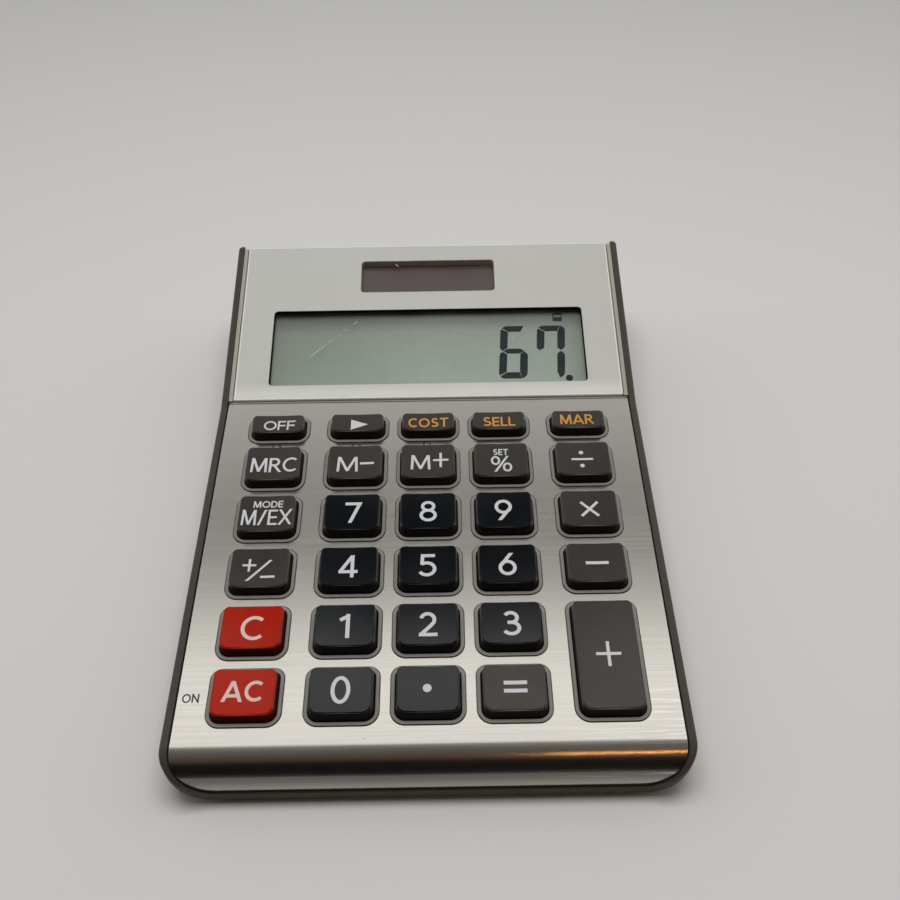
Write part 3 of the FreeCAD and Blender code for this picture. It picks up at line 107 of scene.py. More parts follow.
# Words printed on the metal: text, middle on the keypad, width, height and stroke in mm
METAL_PRINTS = (
    ("ON", -47.03, 6.45, 3.37, 1.91, 0.30),
    ("C3", -36.40, 70.98, 2.3, 1.4, 0.36),
    ("C2", -17.24, 70.84, 2.3, 1.4, 0.36),
    ("C1", -0.35, 71.05, 1.9, 1.4, 0.36),
)
LETTER_GAP = 0.10  # share of a letter's height
END_CUT_SLOPE = 0.35  # a stroke flatter than this is cut upright at its ends
STROKE_STEP = 0.002  # in mm: strokes that cross end at other heights, in so many steps
STROKE_STEPS = 5
LONGEST_MITRE = 0.5  # least cosine of half a turn
MARK_STEP = 0.4  # in mm, along a plain bar
DISC_POINTS = 25
ARROW_POINTS = 13
TIP = 0.01  # half the height of an arrow's tip in mm

# Display in mm: left foot of each digit on the panel, and which of its bars are dark. Bars are
# named a to g, clockwise from the top, with g across the middle.
DIGITS = (((17.88, 6.75), "acdefg"), ((27.43, 6.75), "abcf"))
DIGIT_SIZE = (7.32, 16.3)
DIGIT_LEAN = 0.067  # across over up
DIGIT_CORNER = 1.7
BAR_WIDTH = 1.98
BAR_HEIGHT = 1.8
BAR_GAP = 0.11
BAR_POINTS = 24
TOP_BAR_END = 1.28  # from the right, on the outer edge
MIDDLE_RISE = 0.25  # of the middle bar over the middle of the box
MIDDLE_BAR = (0.9, 0.1, 0.756)  # its tips from the box, its shoulders from the bars, half height
SIDE_TIP = (0.75, 0.12)  # of the left bars, from the box and over the middle bar's line
SHOULDERS = (1.0, 0.85, 0.95)  # right outer, right inner and left outer, and left inner
DECIMAL_POINT = (35.86, 6.69, 1.86)

# Battery mark in mm: its middle, width and height, then the slot, what the upper bar is lower
# than the lower one by half, the bars' shifts, and the width and the reach of the walls
BATTERY_MARK = (33.97, 25.78, 2.45, 2.7)
BATTERY_SLOT = 0.62
BATTERY_CAP_LESS = 0.3
BATTERY_SHIFTS = (0.15, 0.1)
BATTERY_WALL = 0.24
BATTERY_WALL_REACH = (-0.2, 0.8)

# Openings in the panel in mm: width, front and rear edge along the panel, and their corner
OPENINGS = {"display": (80.4, 4.3, 27.4), "solar": (35.7, 33.15, 43.65)}
OPENING_CORNER = 1.1
# How far inside the openings the wall linings stand: painted shade with a black border at the
# display, painted light at the solar cell
LINER_INSET = 0.03

# Painted highlight along the panel's edge in mm: width, front and rear edge along the panel,
# corner, and its width
PANEL_EDGE_HIGHLIGHT = (96.7, 0.35, 48.75)
PANEL_CORNER = 0.35
EDGE_WIDTH = 0.16

# Fine marks on the windows in mm: ends on the panel, and width
WINDOW_MARKS = {
    "display": (
        ((-30.3, 13.4), (-26.2, 17.4), 0.14),
        ((-26.0, 17.6), (-24.8, 18.6), 0.08),
        ((-22.0, 21.3), (-21.0, 22.2), 0.06),
        ((-19.6, 23.4), (-18.4, 24.5), 0.12),
        ((21.8, 18.0), (22.2, 18.6), 0.16),
        ((-23.3, 19.9), (-22.8, 20.3), 0.07),
    ),
    "solar": (((-8.9, 43.4), (-7.9, 42.4), 0.45),),
}

# Undersides and tops of the thin pieces in mm, over the metal, the panel or the display's glass
PRINT_LEVELS = (-0.02, 0.02)
DIGIT_LEVELS = (-0.01, 0.02)
GLASS_DEPTH = 2.2
LINER_LEVELS = (-2.17, -0.12)
EDGE_LEVELS = (-0.3, 0.02)
MARK_LEVELS = (-0.92, -0.885)

# Where a tint starts and where it is full, in mm
SIDE_STRIPS_Y = (21.4, 21.8)
# Painted reflection on the bent front of the metal: dark below the first heights, where the dark
# room in front would be mirrored, and less dark again lower down
BEND_PAINTED_SHADE_Z = (7.9, 7.2)
BEND_SOFTER_PAINTED_SHADE_Z = (6.6, 5.0)
# Painted highlight: pale streaks in the front right corner of the metal, standing in for the
# lamp's reflection
GLINT_STREAKS_X = (22, 46)
GLINT_STREAKS_Y = (-53, -60)
# Painted reflection: the panel's front strip is painted brighter
PANEL_FRONT_HIGHLIGHT_Y = (26.8, 23.8)
SOLAR_MARK_Y = (51.5, 52.0)
# Painted shadow on the display glass: darker towards its rear edge and both ends, where the
# window's walls shade it
DISPLAY_PAINTED_SHADOWS = (
    ("Y", 26.5, 47.0, 0.22), ("Y", 43.2, 49.0, 0.62), ("X", 0.0, -40.2, 0.26),
    ("X", 33.0, 40.0, 0.28),
)

# Heights over the keypad in mm: the lower and upper limit of the painted highlight on a key's top
# edge, and of the painted shade on its skirt
EDGE_HIGHLIGHT_FROM = (2.46, 2.54)
EDGE_HIGHLIGHT_TO = (2.68, 2.60)
# Painted shade: below these heights a key's skirt is darkened
SKIRT_PAINTED_SHADE = (2.4, 2.0)

# Floor: half its side in metres and its squares, then the start and end of its painted shade, by
# the way back in mm, and of its painted light, by distance in metres
FLOOR_REACH = 3
FLOOR_SQUARES = 12
FLOOR_PAINTED_SHADE_BACK = (80, 400)
FLOOR_PAINTED_LIGHT_FAR = (0.45, 1.5)

# Light of the room by its lean in degrees, from level behind to level in front
ROOM = (
    (-90, (0.50, 0.50, 0.50)), (-60, (0.56, 0.56, 0.55)), (-46, (0.62, 0.615, 0.60)),
    (-40, (0.58, 0.575, 0.56)), (-36, (0.45, 0.445, 0.44)), (-33.5, (0.14, 0.14, 0.14)),
    (-31, (0.04, 0.04, 0.04)), (-28.8, (0.18, 0.18, 0.18)),
    (-26.8, (0.40, 0.395, 0.39)), (-24.8, (1.45, 1.44, 1.42)),
    (-23, (1.6, 1.58, 1.56)), (-20, (1.22, 1.21, 1.2)), (-16.5, (1.05, 1.04, 1.03)),
    (-13, (0.5, 0.49, 0.48)), (-7, (0.19, 0.19, 0.185)), (2, (0.135, 0.13, 0.125)),
    (20, (0.09, 0.08, 0.07)), (29, (0.10, 0.06, 0.042)), (35, (0.06, 0.035, 0.025)),
    (43, (0.008, 0.008, 0.008)), (80, (0.004, 0.004, 0.004)), (90, (0.02, 0.02, 0.02)),
)
SIDE_WALLS = (0.85, 0.86, 0.87)
SIDE_WALL_SPAN = (0.62, 0.95)  # how far a direction points across, from none of them to all
SIDE_WALL_BACK = 0.7  # share of its way back that is added to that

# Background past the floor, and where metal and glass show it: from none to all of it, by how
# far a direction points up, and by how far it points back
BACKGROUND = (0.42, 0.42, 0.41)
BACKGROUND_UP = (0.12, 0.06)
BACKGROUND_BACK = (-0.3, 0.0)

# Camera: the width of its sensor in mm, and how near it sees in metres
SENSOR_WIDTH = 36
NEAR_LIMIT = 0.01

# Lamps: name, size and place in metres, lean in degrees, colour, and whether metal mirrors it
LAMPS = (
    ("large_lamp", (0.5, 0.32), (0.0, 0.07, 0.66), -6, (1, 1, 1), False),
    ("warm_lamp", (0.5, 0.014), (0.36, -0.46, 0.80), 26, (1.0, 0.45, 0.12), True),
)


def colour_property(name, description, default):
    return FloatVectorProperty(
        name=name, description=description, subtype="COLOR", size=3, min=0, max=1,
        default=default,
    )


def length_property(name, description, default):
    return FloatProperty(name=name, description=description, unit="LENGTH", default=default)


class CalculatorSizes(PropertyGroup):
    """Sizes that the new pieces are made from."""

    deck_tilt: FloatProperty(
        name="Keypad tilt", description="How far the keypad leans towards its user",
        unit="ROTATION", default=math.radians(3.4),
    )
    deck_y: length_property("Keypad front", "Where the keypad's own frame starts", -0.063473)
    deck_z: length_property("Keypad height", "Height of the metal at that place", 0.0108)
    panel_tilt: FloatProperty(
        name="Panel tilt", description="How far the display panel leans from the keypad",
        unit="ROTATION", default=math.radians(10.9),
    )
    panel_y: length_property("Panel front", "Where the panel starts up the keypad", 0.08542)
    panel_z: length_property("Panel rise", "Height of the panel's front over the metal", 0.0007)
    key_top: length_property("Key top", "Lowest line of a key's dished top", 0.0027)
    dish_radius: length_property("Dish radius", "Radius of a key's dished top", 0.07577)
    ink: length_property("Ink", "Thickness of the printed legends", 0.00006)
    liner: length_property("Liner", "Thickness of the dark edge of a window", 0.00005)


class CalculatorColours(PropertyGroup):
    """Colours of the finishes, in linear light."""

    case: colour_property("Case", "Dark satin plastic", (0.052, 0.047, 0.040))
    metal: colour_property("Metal", "Brushed metal", (0.665, 0.643, 0.59))
    frame: colour_property("Frame", "Collars round the keys", (0.215, 0.205, 0.185))
    panel: colour_property("Panel", "Painted display panel", (0.52, 0.525, 0.49))
    digit_key: colour_property("Digit key", "Black keys", (0.0026, 0.0038, 0.0050))
    function_key: colour_property("Function key", "Dark grey keys", (0.036, 0.031, 0.027))
    clear_key: colour_property("Clear key", "Red keys", (0.33, 0.011, 0.0015))
    white_ink: colour_property("White ink", "Legends on the keys", (0.54, 0.55, 0.57))
    orange_ink: colour_property("Orange ink", "Legends of three keys", (0.54, 0.26, 0.04))
    ink_on_red: colour_property("Ink on red", "Legends on red keys", (0.66, 0.47, 0.43))
    dark_ink: colour_property("Dark ink", "Print on the metal", (0.03, 0.03, 0.03))
    crystal: colour_property("Display", "Grey green display", (0.31, 0.36, 0.305))
    segment: colour_property("Segment", "Dark bars of the digits", (0.008, 0.014, 0.014))
    cell: colour_property("Solar cell", "Dark brown cell", (0.075, 0.055, 0.052))
    floor: colour_property("Floor", "Pale floor", (0.60, 0.595, 0.58))


class CalculatorStudio(PropertyGroup):
    """Camera and light."""

    lens: FloatProperty(
        name="Lens", description="Focal length", unit="CAMERA", default=39.0
    )
    camera_place: FloatVectorProperty(
        name="Camera", description="Camera in the keypad's frame", subtype="TRANSLATION",
        unit="LENGTH", default=(0.0048, -0.07914, 0.17956),
    )
    camera_turn: FloatVectorProperty(
        name="Camera turn", description="Camera's turn in the keypad's frame",
        subtype="EULER", default=tuple(math.radians(a) for a in (39.538, 0.527, -0.776)),
    )
    world: FloatProperty(name="World", description="Strength of the room's light", default=1.0)
    key_light: FloatProperty(name="Key light", description="Power of the large lamp", default=2.85)
    warm_light: FloatProperty(
        name="Warm light", description="Power of the thin lamp", default=0.28
    )


def sizes():
    return bpy.context.scene.calculator_sizes


def colours():
    return bpy.context.scene.calculator_colours


def studio():
    return bpy.context.scene.calculator_studio


def turned(points, angle, y, z):
    """Points turned about the X axis, then moved up and back, all in metres."""
    cos, sin = math.cos(angle), math.sin(angle)
    across, along, up = points[..., 0], points[..., 1], points[..., 2]
    return np.stack(
        (across, along * cos - up * sin + y, along * sin + up * cos + z), axis=-1
    )


def on_deck(points):
    """From the keypad's own frame to the row frame."""
    s = sizes()
    return turned(points, s.deck_tilt, s.deck_y, s.deck_z)


def on_panel(points):
    """From the panel's own frame to the row frame."""
    s = sizes()
    return on_deck(turned(points, s.panel_tilt, s.panel_y, s.panel_z))


def line(*corners, step=0.06):
    """Straight runs between corners, each run divided evenly into short steps."""
    runs = []
    for start, end in zip(corners, corners[1:]):
        start, end = np.array(start, float), np.array(end, float)
        count = max(2, int(np.linalg.norm(end - start) / step) + 1)
        share = np.linspace(0, 1, count)[:, None]
        run = start + (end - start) * share
        runs.append(run if not runs else run[1:])
    return np.concatenate(runs)


def arc(x, y, rx, ry, start, end, count=24):
    """Part of an ellipse between two angles in degrees: centre plus radii times cos and sin."""
    angle = np.radians(np.linspace(start, end, count))
    return np.stack((x + rx * np.cos(angle), y + ry * np.sin(angle)), axis=-1)


def joined(*paths):
    return np.concatenate(paths)


def stroke(path, start="square", end="square"):
    """A path, and whether each end is cut square to it or along the glyph's box ("flat")."""
    return path, start, end


def flat(*corners):
    """A stroke of straight runs, cut along the glyph's box at both ends."""
    return stroke(line(*corners), "flat", "flat")


def loop(x, y, rx, ry, count):
    """An ellipse as a stroke whose ends meet."""
    return stroke(arc(x, y, rx, ry, 90, 450, count)[:-1], "closed", "closed")


def glyphs():
    """Each glyph's width over its height, and its strokes.

    Places run from 0 to 1 over the box of the strokes' middle lines.
    """
    stem, slant = flat((0, 0), (0, 1)), flat((0, 0), (1, 1))
    top, foot = flat((0, 1), (1, 1)), flat((0, 0), (1, 0))
    oval = loop(0.5, 0.5, 0.5, 0.5, 49)
    return {
        "0": (0.68, [oval]),
        "1": (0.41, [flat((1, 0), (1, 1)), stroke(line((-0.14, 0.79), (0.95, 0.975)))]),
        "2": (0.68, [
            stroke(joined(
                arc(0.46, 0.71, 0.46, 0.29, 165, -32, 22), line((0.72, 0.45), (-0.02, 0.0))[1:]
            )),
            foot,
        ]),
        "3": (0.66, [
            stroke(arc(0.44, 0.765, 0.44, 0.235, 150, -90)),
            stroke(arc(0.46, 0.27, 0.54, 0.27, 90, -152)),
            stroke(line((0.2, 0.535), (0.46, 0.535))),
        ]),
        "4": (0.73, [
            flat((0.76, 0), (0.76, 1)),
            stroke(line((0.70, 1), (0.0, 0.24)), "flat"),
            flat((0, 0.22), (1, 0.22)),
        ]),
        "5": (0.67, [
            flat((0.90, 1), (0.14, 1)),
            stroke(line((0.14, 1), (0.10, 0.52)), "flat"),
            stroke(arc(0.44, 0.31, 0.56, 0.31, 127, -150, 26)),
        ]),
        "6": (0.69, [
            loop(0.5, 0.32, 0.5, 0.32, 41), stroke(line((0.70, 1.0), (0.07, 0.45)), "flat"),
        ]),
        "7": (0.65, [top, flat((1, 1), (0.33, 0))]),
        "8": (0.69, [loop(0.5, 0.775, 0.40, 0.225, 41), loop(0.5, 0.275, 0.5, 0.275, 41)]),
        "9": (0.69, [
            loop(0.5, 0.68, 0.5, 0.32, 41), stroke(line((0.30, 0.0), (0.93, 0.55)), "flat"),
        ]),
        "A": (0.92, [
            flat((0, 0), (0.46, 1)), flat((1, 0), (0.54, 1)),
            stroke(line((0.16, 0.25), (0.84, 0.25))),
        ]),
        "C": (0.86, [stroke(arc(0.6, 0.5, 0.6, 0.5, 48, 312, 40))]),
        "D": (0.82, [
            stem,
            stroke(joined(
                line((0, 1), (0.34, 1)), arc(0.34, 0.5, 0.66, 0.5, 90, -90)[1:-1],
                line((0.34, 0), (0, 0)),
            ), "flat", "flat"),
        ]),
        "E": (0.62, [stem, top, flat((0, 0.5), (0.93, 0.5)), foot]),
        "F": (0.66, [stem, top, flat((0, 0.48), (0.93, 0.48))]),
        "L": (0.58, [stem, foot]),
        "M": (0.98, [
            flat((0, 0), (0.04, 1)), flat((0.09, 1), (0.48, 0.04)),
            flat((0.91, 1), (0.52, 0.04)), flat((0.96, 1), (1, 0)),
        ]),
        "N": (0.84, [stem, flat((0, 1), (1, 0)), flat((1, 0), (1, 1))]),
        "O": (1.04, [oval]),
        "R": (0.70, [
            stem,
            stroke(joined(
                line((0, 1), (0.45, 1)), arc(0.45, 0.74, 0.43, 0.26, 90, -90)[1:-1],
                line((0.45, 0.48), (0, 0.48)),
            ), "flat", "flat"),
            flat((0.42, 0.48), (1, 0)),
        ]),
        "S": (0.72, [stroke(joined(
            arc(0.52, 0.755, 0.42, 0.245, 32, 262, 20), arc(0.46, 0.265, 0.54, 0.245, 80, -142, 20)
        ))]),
        "T": (0.80, [top, flat((0.5, 0), (0.5, 1))]),
        "X": (0.80, [slant, flat((0, 1), (1, 0))]),
        "/": (0.52, [slant]),
        "%": (1.06, [
            flat((0.20, 0), (0.80, 1)),
            loop(0.19, 0.74, 0.19, 0.26, 33), loop(0.81, 0.26, 0.19, 0.26, 33),
        ]),
        "+": (0.92, [flat((0, 0.5), (1, 0.5)), flat((0.5, 0), (0.5, 1))]),
        "times": (1.0, [stroke(line((0, 0), (1, 1))), stroke(line((0, 1), (1, 0)))]),
    }


GLYPHS = glyphs()


def edges_of(path, half, ends):
    """Both edges of a stroke, as arrays of points.

    Each point of the path is moved sideways by the half width, and further where the path
    turns, over the cosine of half the turn. A flat end is slid along the path to a line
    half a stroke past it, upright or level as the path runs.
    """
    closed = ends[0] == "closed"
    ahead = np.roll(path, -1, 0) - path
    if not closed:
        ahead[-1] = ahead[-2]
    ahead /= np.linalg.norm(ahead, axis=1)[:, None]
    behind = np.roll(ahead, 1, 0)
    if not closed:
        behind[0] = ahead[0]
    side = np.stack((-(ahead + behind)[:, 1], (ahead + behind)[:, 0]), axis=-1)
    side /= np.linalg.norm(side, axis=1)[:, None]
    square = np.stack((-ahead[:, 1], ahead[:, 0]), axis=-1)
    reach = half / np.maximum((side * square).sum(1), LONGEST_MITRE)
    left, right = path + side * reach[:, None], path - side * reach[:, None]
    for index, way, end in ((0, -ahead[0], ends[0]), (-1, ahead[-1], ends[1])):
        if end != "flat":
            continue
        axis = 1 if abs(way[1]) > END_CUT_SLOPE else 0
        limit = path[index][axis] + math.copysign(half, way[axis])
        for edge in (left, right):
            edge[index] += way * (limit - edge[index][axis]) / way[axis]
    return left, right


def slab(left, right, low, high, closed=False):
    """A thin solid between two edges: a four-cornered profile carried from end to end."""
    rows = len(left)

    def level(edge, height):
        return np.column_stack((edge, np.full(rows, height)))

    profile = np.stack(
        (level(left, high), level(left, low), level(right, low), level(right, high)), axis=1
    )
    row = 4 * np.arange(rows if closed else rows - 1)[:, None]
    after = (row + 4) % (4 * rows)
    corner = np.arange(4)
    beside = (corner + 1) % 4
    faces = np.stack((row + corner, row + beside, after + beside, after + corner), axis=-1)
    faces = faces.reshape(-1, 4)
    if not closed:
        last = (rows - 1) * 4
        caps = np.array(((3, 2, 1, 0), (last, last + 1, last + 2, last + 3)))
        faces = np.concatenate((faces, caps))
    return profile.reshape(-1, 3), faces


def make_piece(name, slabs, place, body, material):
    """One object from thin solids, carried to its place by a function of whole arrays."""
    starts = np.cumsum([0] + [len(points) for points, _ in slabs])
    points = place(np.concatenate([points for points, _ in slabs]))
    faces = np.concatenate([faces + start for (_, faces), start in zip(slabs, starts)])
    mesh = bpy.data.meshes.new(name)
    mesh.from_pydata(points.tolist(), [], faces.tolist())
    mesh.validate()
    mesh.materials.append(material)
    piece = bpy.data.objects.new(name, mesh)
    bpy.context.scene.collection.objects.link(piece)
    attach(piece, body)
    return piece


def disc(x, y, diameter, low, high):
    """Round spot: two edges that part and meet again as a circle does."""
    turn = np.linspace(0, math.pi, DISC_POINTS)
    along = x - diameter / 2 * np.cos(turn)
    half = np.maximum(diameter / 2 * np.sin(turn), 1e-4)
    return slab(np.stack((along, y + half), -1), np.stack((along, y - half), -1), low, high)


def text_slabs(text, x, y, width, height, pen, low, high):
    """Thin solids for a line of text that fills a box about its middle."""
    if text == "dot":
        return [disc(x, y, width, low, high)]
    if text == "bar":
        half = (width - pen) / 2
        path = line((x - half, y), (x + half, y), step=MARK_STEP)
        return [slab(*edges_of(path, pen / 2, ("flat", "flat")), low, high)]
    if text == "arrow":
        along = np.linspace(x - width / 2, x + width / 2, ARROW_POINTS)
        half = np.linspace(height / 2, TIP, ARROW_POINTS)
        edges = [np.stack((along, y + side * half), -1) for side in (1, -1)]
        return [slab(*edges, low, high)]
    names = [text] if text in GLYPHS else list(text)
    gap = LETTER_GAP * height
    spread = (width - gap * (len(names) - 1)) / sum(GLYPHS[name][0] for name in names)
    left = x - width / 2
    slabs = []
    for name in names:
        wide = GLYPHS[name][0] * spread
        size = np.array((wide - pen, height - pen))
        corner = np.array((left + pen / 2, y - height / 2 + pen / 2))
        for path, start, end in GLYPHS[name][1]:
            edges = edges_of(corner + path * size, pen / 2, (start, end))
            lift = STROKE_STEP * (len(slabs) % STROKE_STEPS)
            slabs.append(slab(*edges, low, high + lift, start == "closed"))
        left += wide + gap
    return slabs


class Nodes:
    """A node tree, and short ways to add to it."""

    def __init__(self, tree):
        self.tree = tree

    def node(self, kind, links=(), **values):
        made = self.tree.nodes.new("ShaderNode" + kind)
        for key, value in values.items():
            if key in made.inputs:
                made.inputs[key].default_value = value
            else:
                setattr(made, key, value)
        for socket, source in dict(links).items():
            self.tree.links.new(source, made.inputs[socket])
        return made

    def combine(self, operation, first, second):
        return self.node("Math", {0: first, 1: second}, operation=operation).outputs[0]

    def spread(self, source, low, high, to_low=0.0, to_high=1.0):
        """Carries the part of a pattern between low and high to other limits."""
        made = self.node("MapRange", {"Value": source})
        for key, value in zip(
            ("From Min", "From Max", "To Min", "To Max"), (low, high, to_low, to_high)
        ):
            made.inputs[key].default_value = value
        return made.outputs["Result"]

    def blend(self, share, first, second):
        """From one colour, a link or a plain one, to a plain one, by a share."""
        mix = self.node("Mix", data_type="RGBA")
        self.tree.links.new(share, mix.inputs["Factor"])
        if isinstance(first, tuple):
            mix.inputs["A"].default_value = (*first, 1)
        else:
            self.tree.links.new(first, mix.inputs["A"])
        mix.inputs["B"].default_value = (*second, 1)
        return mix.outputs["Result"]


class Finish(Nodes):
    """A material whose colour, roughness and relief come from patterns in object space."""

    def __init__(self, name, colour, roughness, metallic=0.0, **sockets):
        self.material = bpy.data.materials.new(name)
        self.material.use_nodes = True
        super().__init__(self.material.node_tree)
        self.surface = self.tree.nodes["Principled BSDF"]
        self.colour = tuple(colour)
        sockets.update(Base_Color=(*colour, 1), Roughness=roughness, Metallic=metallic)
        for socket, value in sockets.items():
            self.surface.inputs[socket.replace("_", " ")].default_value = value
        self.place = self.node("TexCoord").outputs["Object"]
        self.last_bump = None

    def wire(self, socket, source):
        self.tree.links.new(source, self.surface.inputs[socket])

    def stretched(self, stretch, turn=(0, 0, 0)):
        return self.node(
            "Mapping", {"Vector": self.place}, Scale=stretch, Rotation=turn
        ).outputs["Vector"]

    def noise(self, scale, detail=3.0, stretch=None, turn=(0, 0, 0), rough=0.5):
        """Noise of so many waves a metre, from 0 to 1."""
        where = self.stretched(stretch, turn) if stretch else self.place
        made = self.node(
            "TexNoise", {"Vector": where}, Scale=scale, Detail=detail, Roughness=rough
        )
        return made.outputs["Fac"]

    def along(self, axis, start, end, turn=None):
        """0 to 1 from one place to another along an axis, in mm."""
        where = self.stretched((1, 1, 1), turn) if turn else self.place
        split = self.node("SeparateXYZ", {"Vector": where})
        return self.spread(split.outputs[axis], start * MM, end * MM)

    def specks(self, scale, size):
        """1 in rare small spots, 0 elsewhere: the middles of loose cells."""
        cells = self.node("TexVoronoi", {"Vector": self.place}, Scale=scale)
        return self.spread(cells.outputs["Distance"], size, size * 0.6)

    def tint(self, source, colour, strength=1.0):
        """Turns the surface's colour to another one where a pattern is strong."""
        share = source if strength == 1.0 else self.spread(source, 0, 1, 0, strength)
        base = self.surface.inputs["Base Color"]
        first = base.links[0].from_socket if base.links else self.colour
        self.wire("Base Color", self.blend(share, first, colour))

    def mottle(self, scale, detail, low, high, colour, strength, **noise):
        """Tints the surface by noise: not at all at its low level, and in full at its high."""
        pattern = self.noise(scale, detail, **noise)
        self.tint(self.spread(pattern, low, high), colour, strength)

    def sheen_change(self, source, low, high):
        """Lets the roughness run between two values with a pattern."""
        self.wire("Roughness", self.spread(source, 0.3, 0.7, low, high))

    def relief(self, source, height, strength=1.0):
        """Fine relief of so many metres, on top of any before it."""
        bump = self.node("Bump", {"Height": source}, Strength=strength, Distance=height)
        if self.last_bump:
            self.tree.links.new(self.last_bump, bump.inputs["Normal"])
        self.last_bump = bump.outputs["Normal"]
        self.wire("Normal", self.last_bump)


def shade(colour, share):
    return tuple(channel * share for channel in colour)


def dress(slot, finish):
    """Gives a finish to every CAD node of a material slot."""
    found = [
        row["node"] for row in frame["record"]["subparts"] if row["material_slot"] == slot
    ]
    if not found:
        raise RuntimeError("no piece has the material slot " + slot)
    for name in found:
        frame["nodes"][name].data.materials[0] = finish.material


def moulded(name, colour, roughness, grain=3200, height=0.000012, gloss=0.3):
    """Moulded plastic: a little mottling, fine grain and a few scuffs of other gloss."""
    finish = Finish(name, colour, roughness, Specular_IOR_Level=gloss)
    finish.mottle(60, 4, 0.35, 0.75, shade(colour, 1.18), 0.6)
    finish.mottle(900, 2, 0.5, 0.8, shade(colour, 0.8), 0.5)
    finish.sheen_change(finish.noise(140, 5), roughness - 0.06, roughness + 0.07)
    finish.relief(finish.noise(grain, 2), height)
    return finish


class CALCULATOR_OT_finish_case(Operator):
    """Give the case, the inner frame, the back cover and the feet their finishes"""

    bl_idname = "calculator.finish_case"
    bl_label = "Finish the case"

    def execute(self, context):
        case = moulded("satin case plastic", colours().case, 0.46, gloss=0.2)
        case.tint(case.specks(260, 0.035), (0.25, 0.24, 0.22), 0.35)
        dress("case_dark", case)
        collars = moulded("satin frame plastic", colours().frame, 0.4)
        collars.tint(collars.along("Y", *SIDE_STRIPS_Y), (0.36, 0.345, 0.29))
        dress("frame_taupe", collars)
        feet = moulded("foot rubber", (0.02, 0.02, 0.021), 0.75, grain=5000, height=0.00002)
        dress("foot_rubber", feet)
        return {"FINISHED"}


class CALCULATOR_OT_finish_metal(Operator):
    """Give the bent faceplate its brushed metal"""

    bl_idname = "calculator.finish_metal"
    bl_label = "Finish the metal"

    def execute(self, context):
        colour = tuple(colours().metal)
        metal = Finish("brushed metal", colour, 0.22, metallic=1.0, Anisotropic=0.5)
        brushing = metal.noise(1.0, 3, stretch=(55, 9000, 9000), rough=0.6)
        metal.mottle(
            1.0, 2, 0.35, 0.7, shade(colour, 0.95), 0.4, stretch=(18, 1400, 1400), rough=0.5
        )
        metal.tint(metal.spread(brushing, 0.55, 0.8), shade(colour, 0.9), 0.3)
        metal.tint(metal.specks(190, 0.030), (0.06, 0.055, 0.05), 0.55)
        # Painted reflection: the bent front is darkened by height, standing in for the dark room
        # it mirrors, and made less dark lower down
        metal.tint(metal.along("Z", *BEND_PAINTED_SHADE_Z), shade(colour, 0.36))
        metal.tint(metal.along("Z", *BEND_SOFTER_PAINTED_SHADE_Z), shade(colour, 0.66))
        # Painted highlight: pale streaks, only in the front right corner, standing in for the
        # lamp's reflection in the brushed metal
        glint_streaks = metal.noise(1.0, 2, stretch=(90, 2900, 2900), turn=(0, 0, 0.2), rough=0.4)
        corner = metal.along("X", *GLINT_STREAKS_X)
        for near in (metal.along("Y", *GLINT_STREAKS_Y), metal.spread(glint_streaks, 0.52, 0.66)):
            corner = metal.combine("MULTIPLY", corner, near)
        metal.tint(corner, (0.95, 0.935, 0.89), 0.5)
        metal.sheen_change(brushing, 0.15, 0.21)
        metal.relief(brushing, 0.0000025, 0.4)
        normal = metal.node("NewGeometry").outputs["Normal"]
        across = metal.node("VectorMath", {0: normal}, operation="CROSS_PRODUCT")
        across.inputs[1].default_value = (1, 0, 0)
        metal.wire("Tangent", across.outputs["Vector"])
        dress("brushed_metal", metal)
        return {"FINISHED"}


class CALCULATOR_OT_finish_panel(Operator):
    """Give the display panel, its windows, the display glass and the solar cell their finishes"""

    bl_idname = "calculator.finish_panel"
    bl_label = "Finish the panel"

    def execute(self, context):
        colour = tuple(colours().panel)
        panel = Finish("satin panel paint", colour, 0.40, metallic=0.2)
        panel.mottle(35, 3, 0.3, 0.7, shade(colour, 1.06), 0.6)
        panel.mottle(6000, 2, 0.5, 0.75, shade(colour, 0.86), 0.4)
        # Painted reflection: the strip along the panel's front is painted brighter
        panel.tint(panel.along("Y", *PANEL_FRONT_HIGHLIGHT_Y), shade(colour, 1.24))
        panel.tint(panel.specks(230, 0.022), (0.12, 0.11, 0.1), 0.4)
        panel.sheen_change(panel.noise(200, 4), 0.34, 0.42)
        panel.relief(panel.noise(5200, 2), 0.000004)
        dress("panel_satin", panel)

        window = Finish(
            "clear window", (0.55, 0.58, 0.57), 0.06, Alpha=0.08, Specular_IOR_Level=0.1
        )
        haze = window.noise(90, 4, stretch=(1, 3, 1))
        window.wire("Alpha", window.spread(haze, 0.3, 0.75, 0.006, 0.025))
        window.sheen_change(haze, 0.03, 0.12)
        dress("clear_window", window)

        crystal = tuple(colours().crystal)
        glass = Finish("display glass", crystal, 0.3, Specular_IOR_Level=0.1)
        glass.mottle(25, 2, 0.3, 0.7, shade(crystal, 1.12), 0.7)
        glass.mottle(900, 2, 0.4, 0.7, shade(crystal, 0.95), 0.5)
        # Painted shadow of the window's walls: the glass is darkened towards its rear edge and its
        # ends
        for axis, start, end, strength in DISPLAY_PAINTED_SHADOWS:
            glass.tint(glass.along(axis, start, end), shade(crystal, 0.1), strength)
        glass.relief(glass.noise(1500, 1), 0.000002)
        dress("display_glass", glass)

        cell = Finish("solar cell", tuple(colours().cell), 0.18, Specular_IOR_Level=0.2)
        cell.mottle(40, 2, 0.35, 0.7, (0.085, 0.075, 0.066), 0.8)
        cell.mottle(1, 2, 0.5, 0.8, (0.1, 0.07, 0.07), 0.3, stretch=(60, 1600, 1))
        cell.relief(cell.noise(800, 1), 0.000002)
        dress("solar_cell", cell)
        return {"FINISHED"}


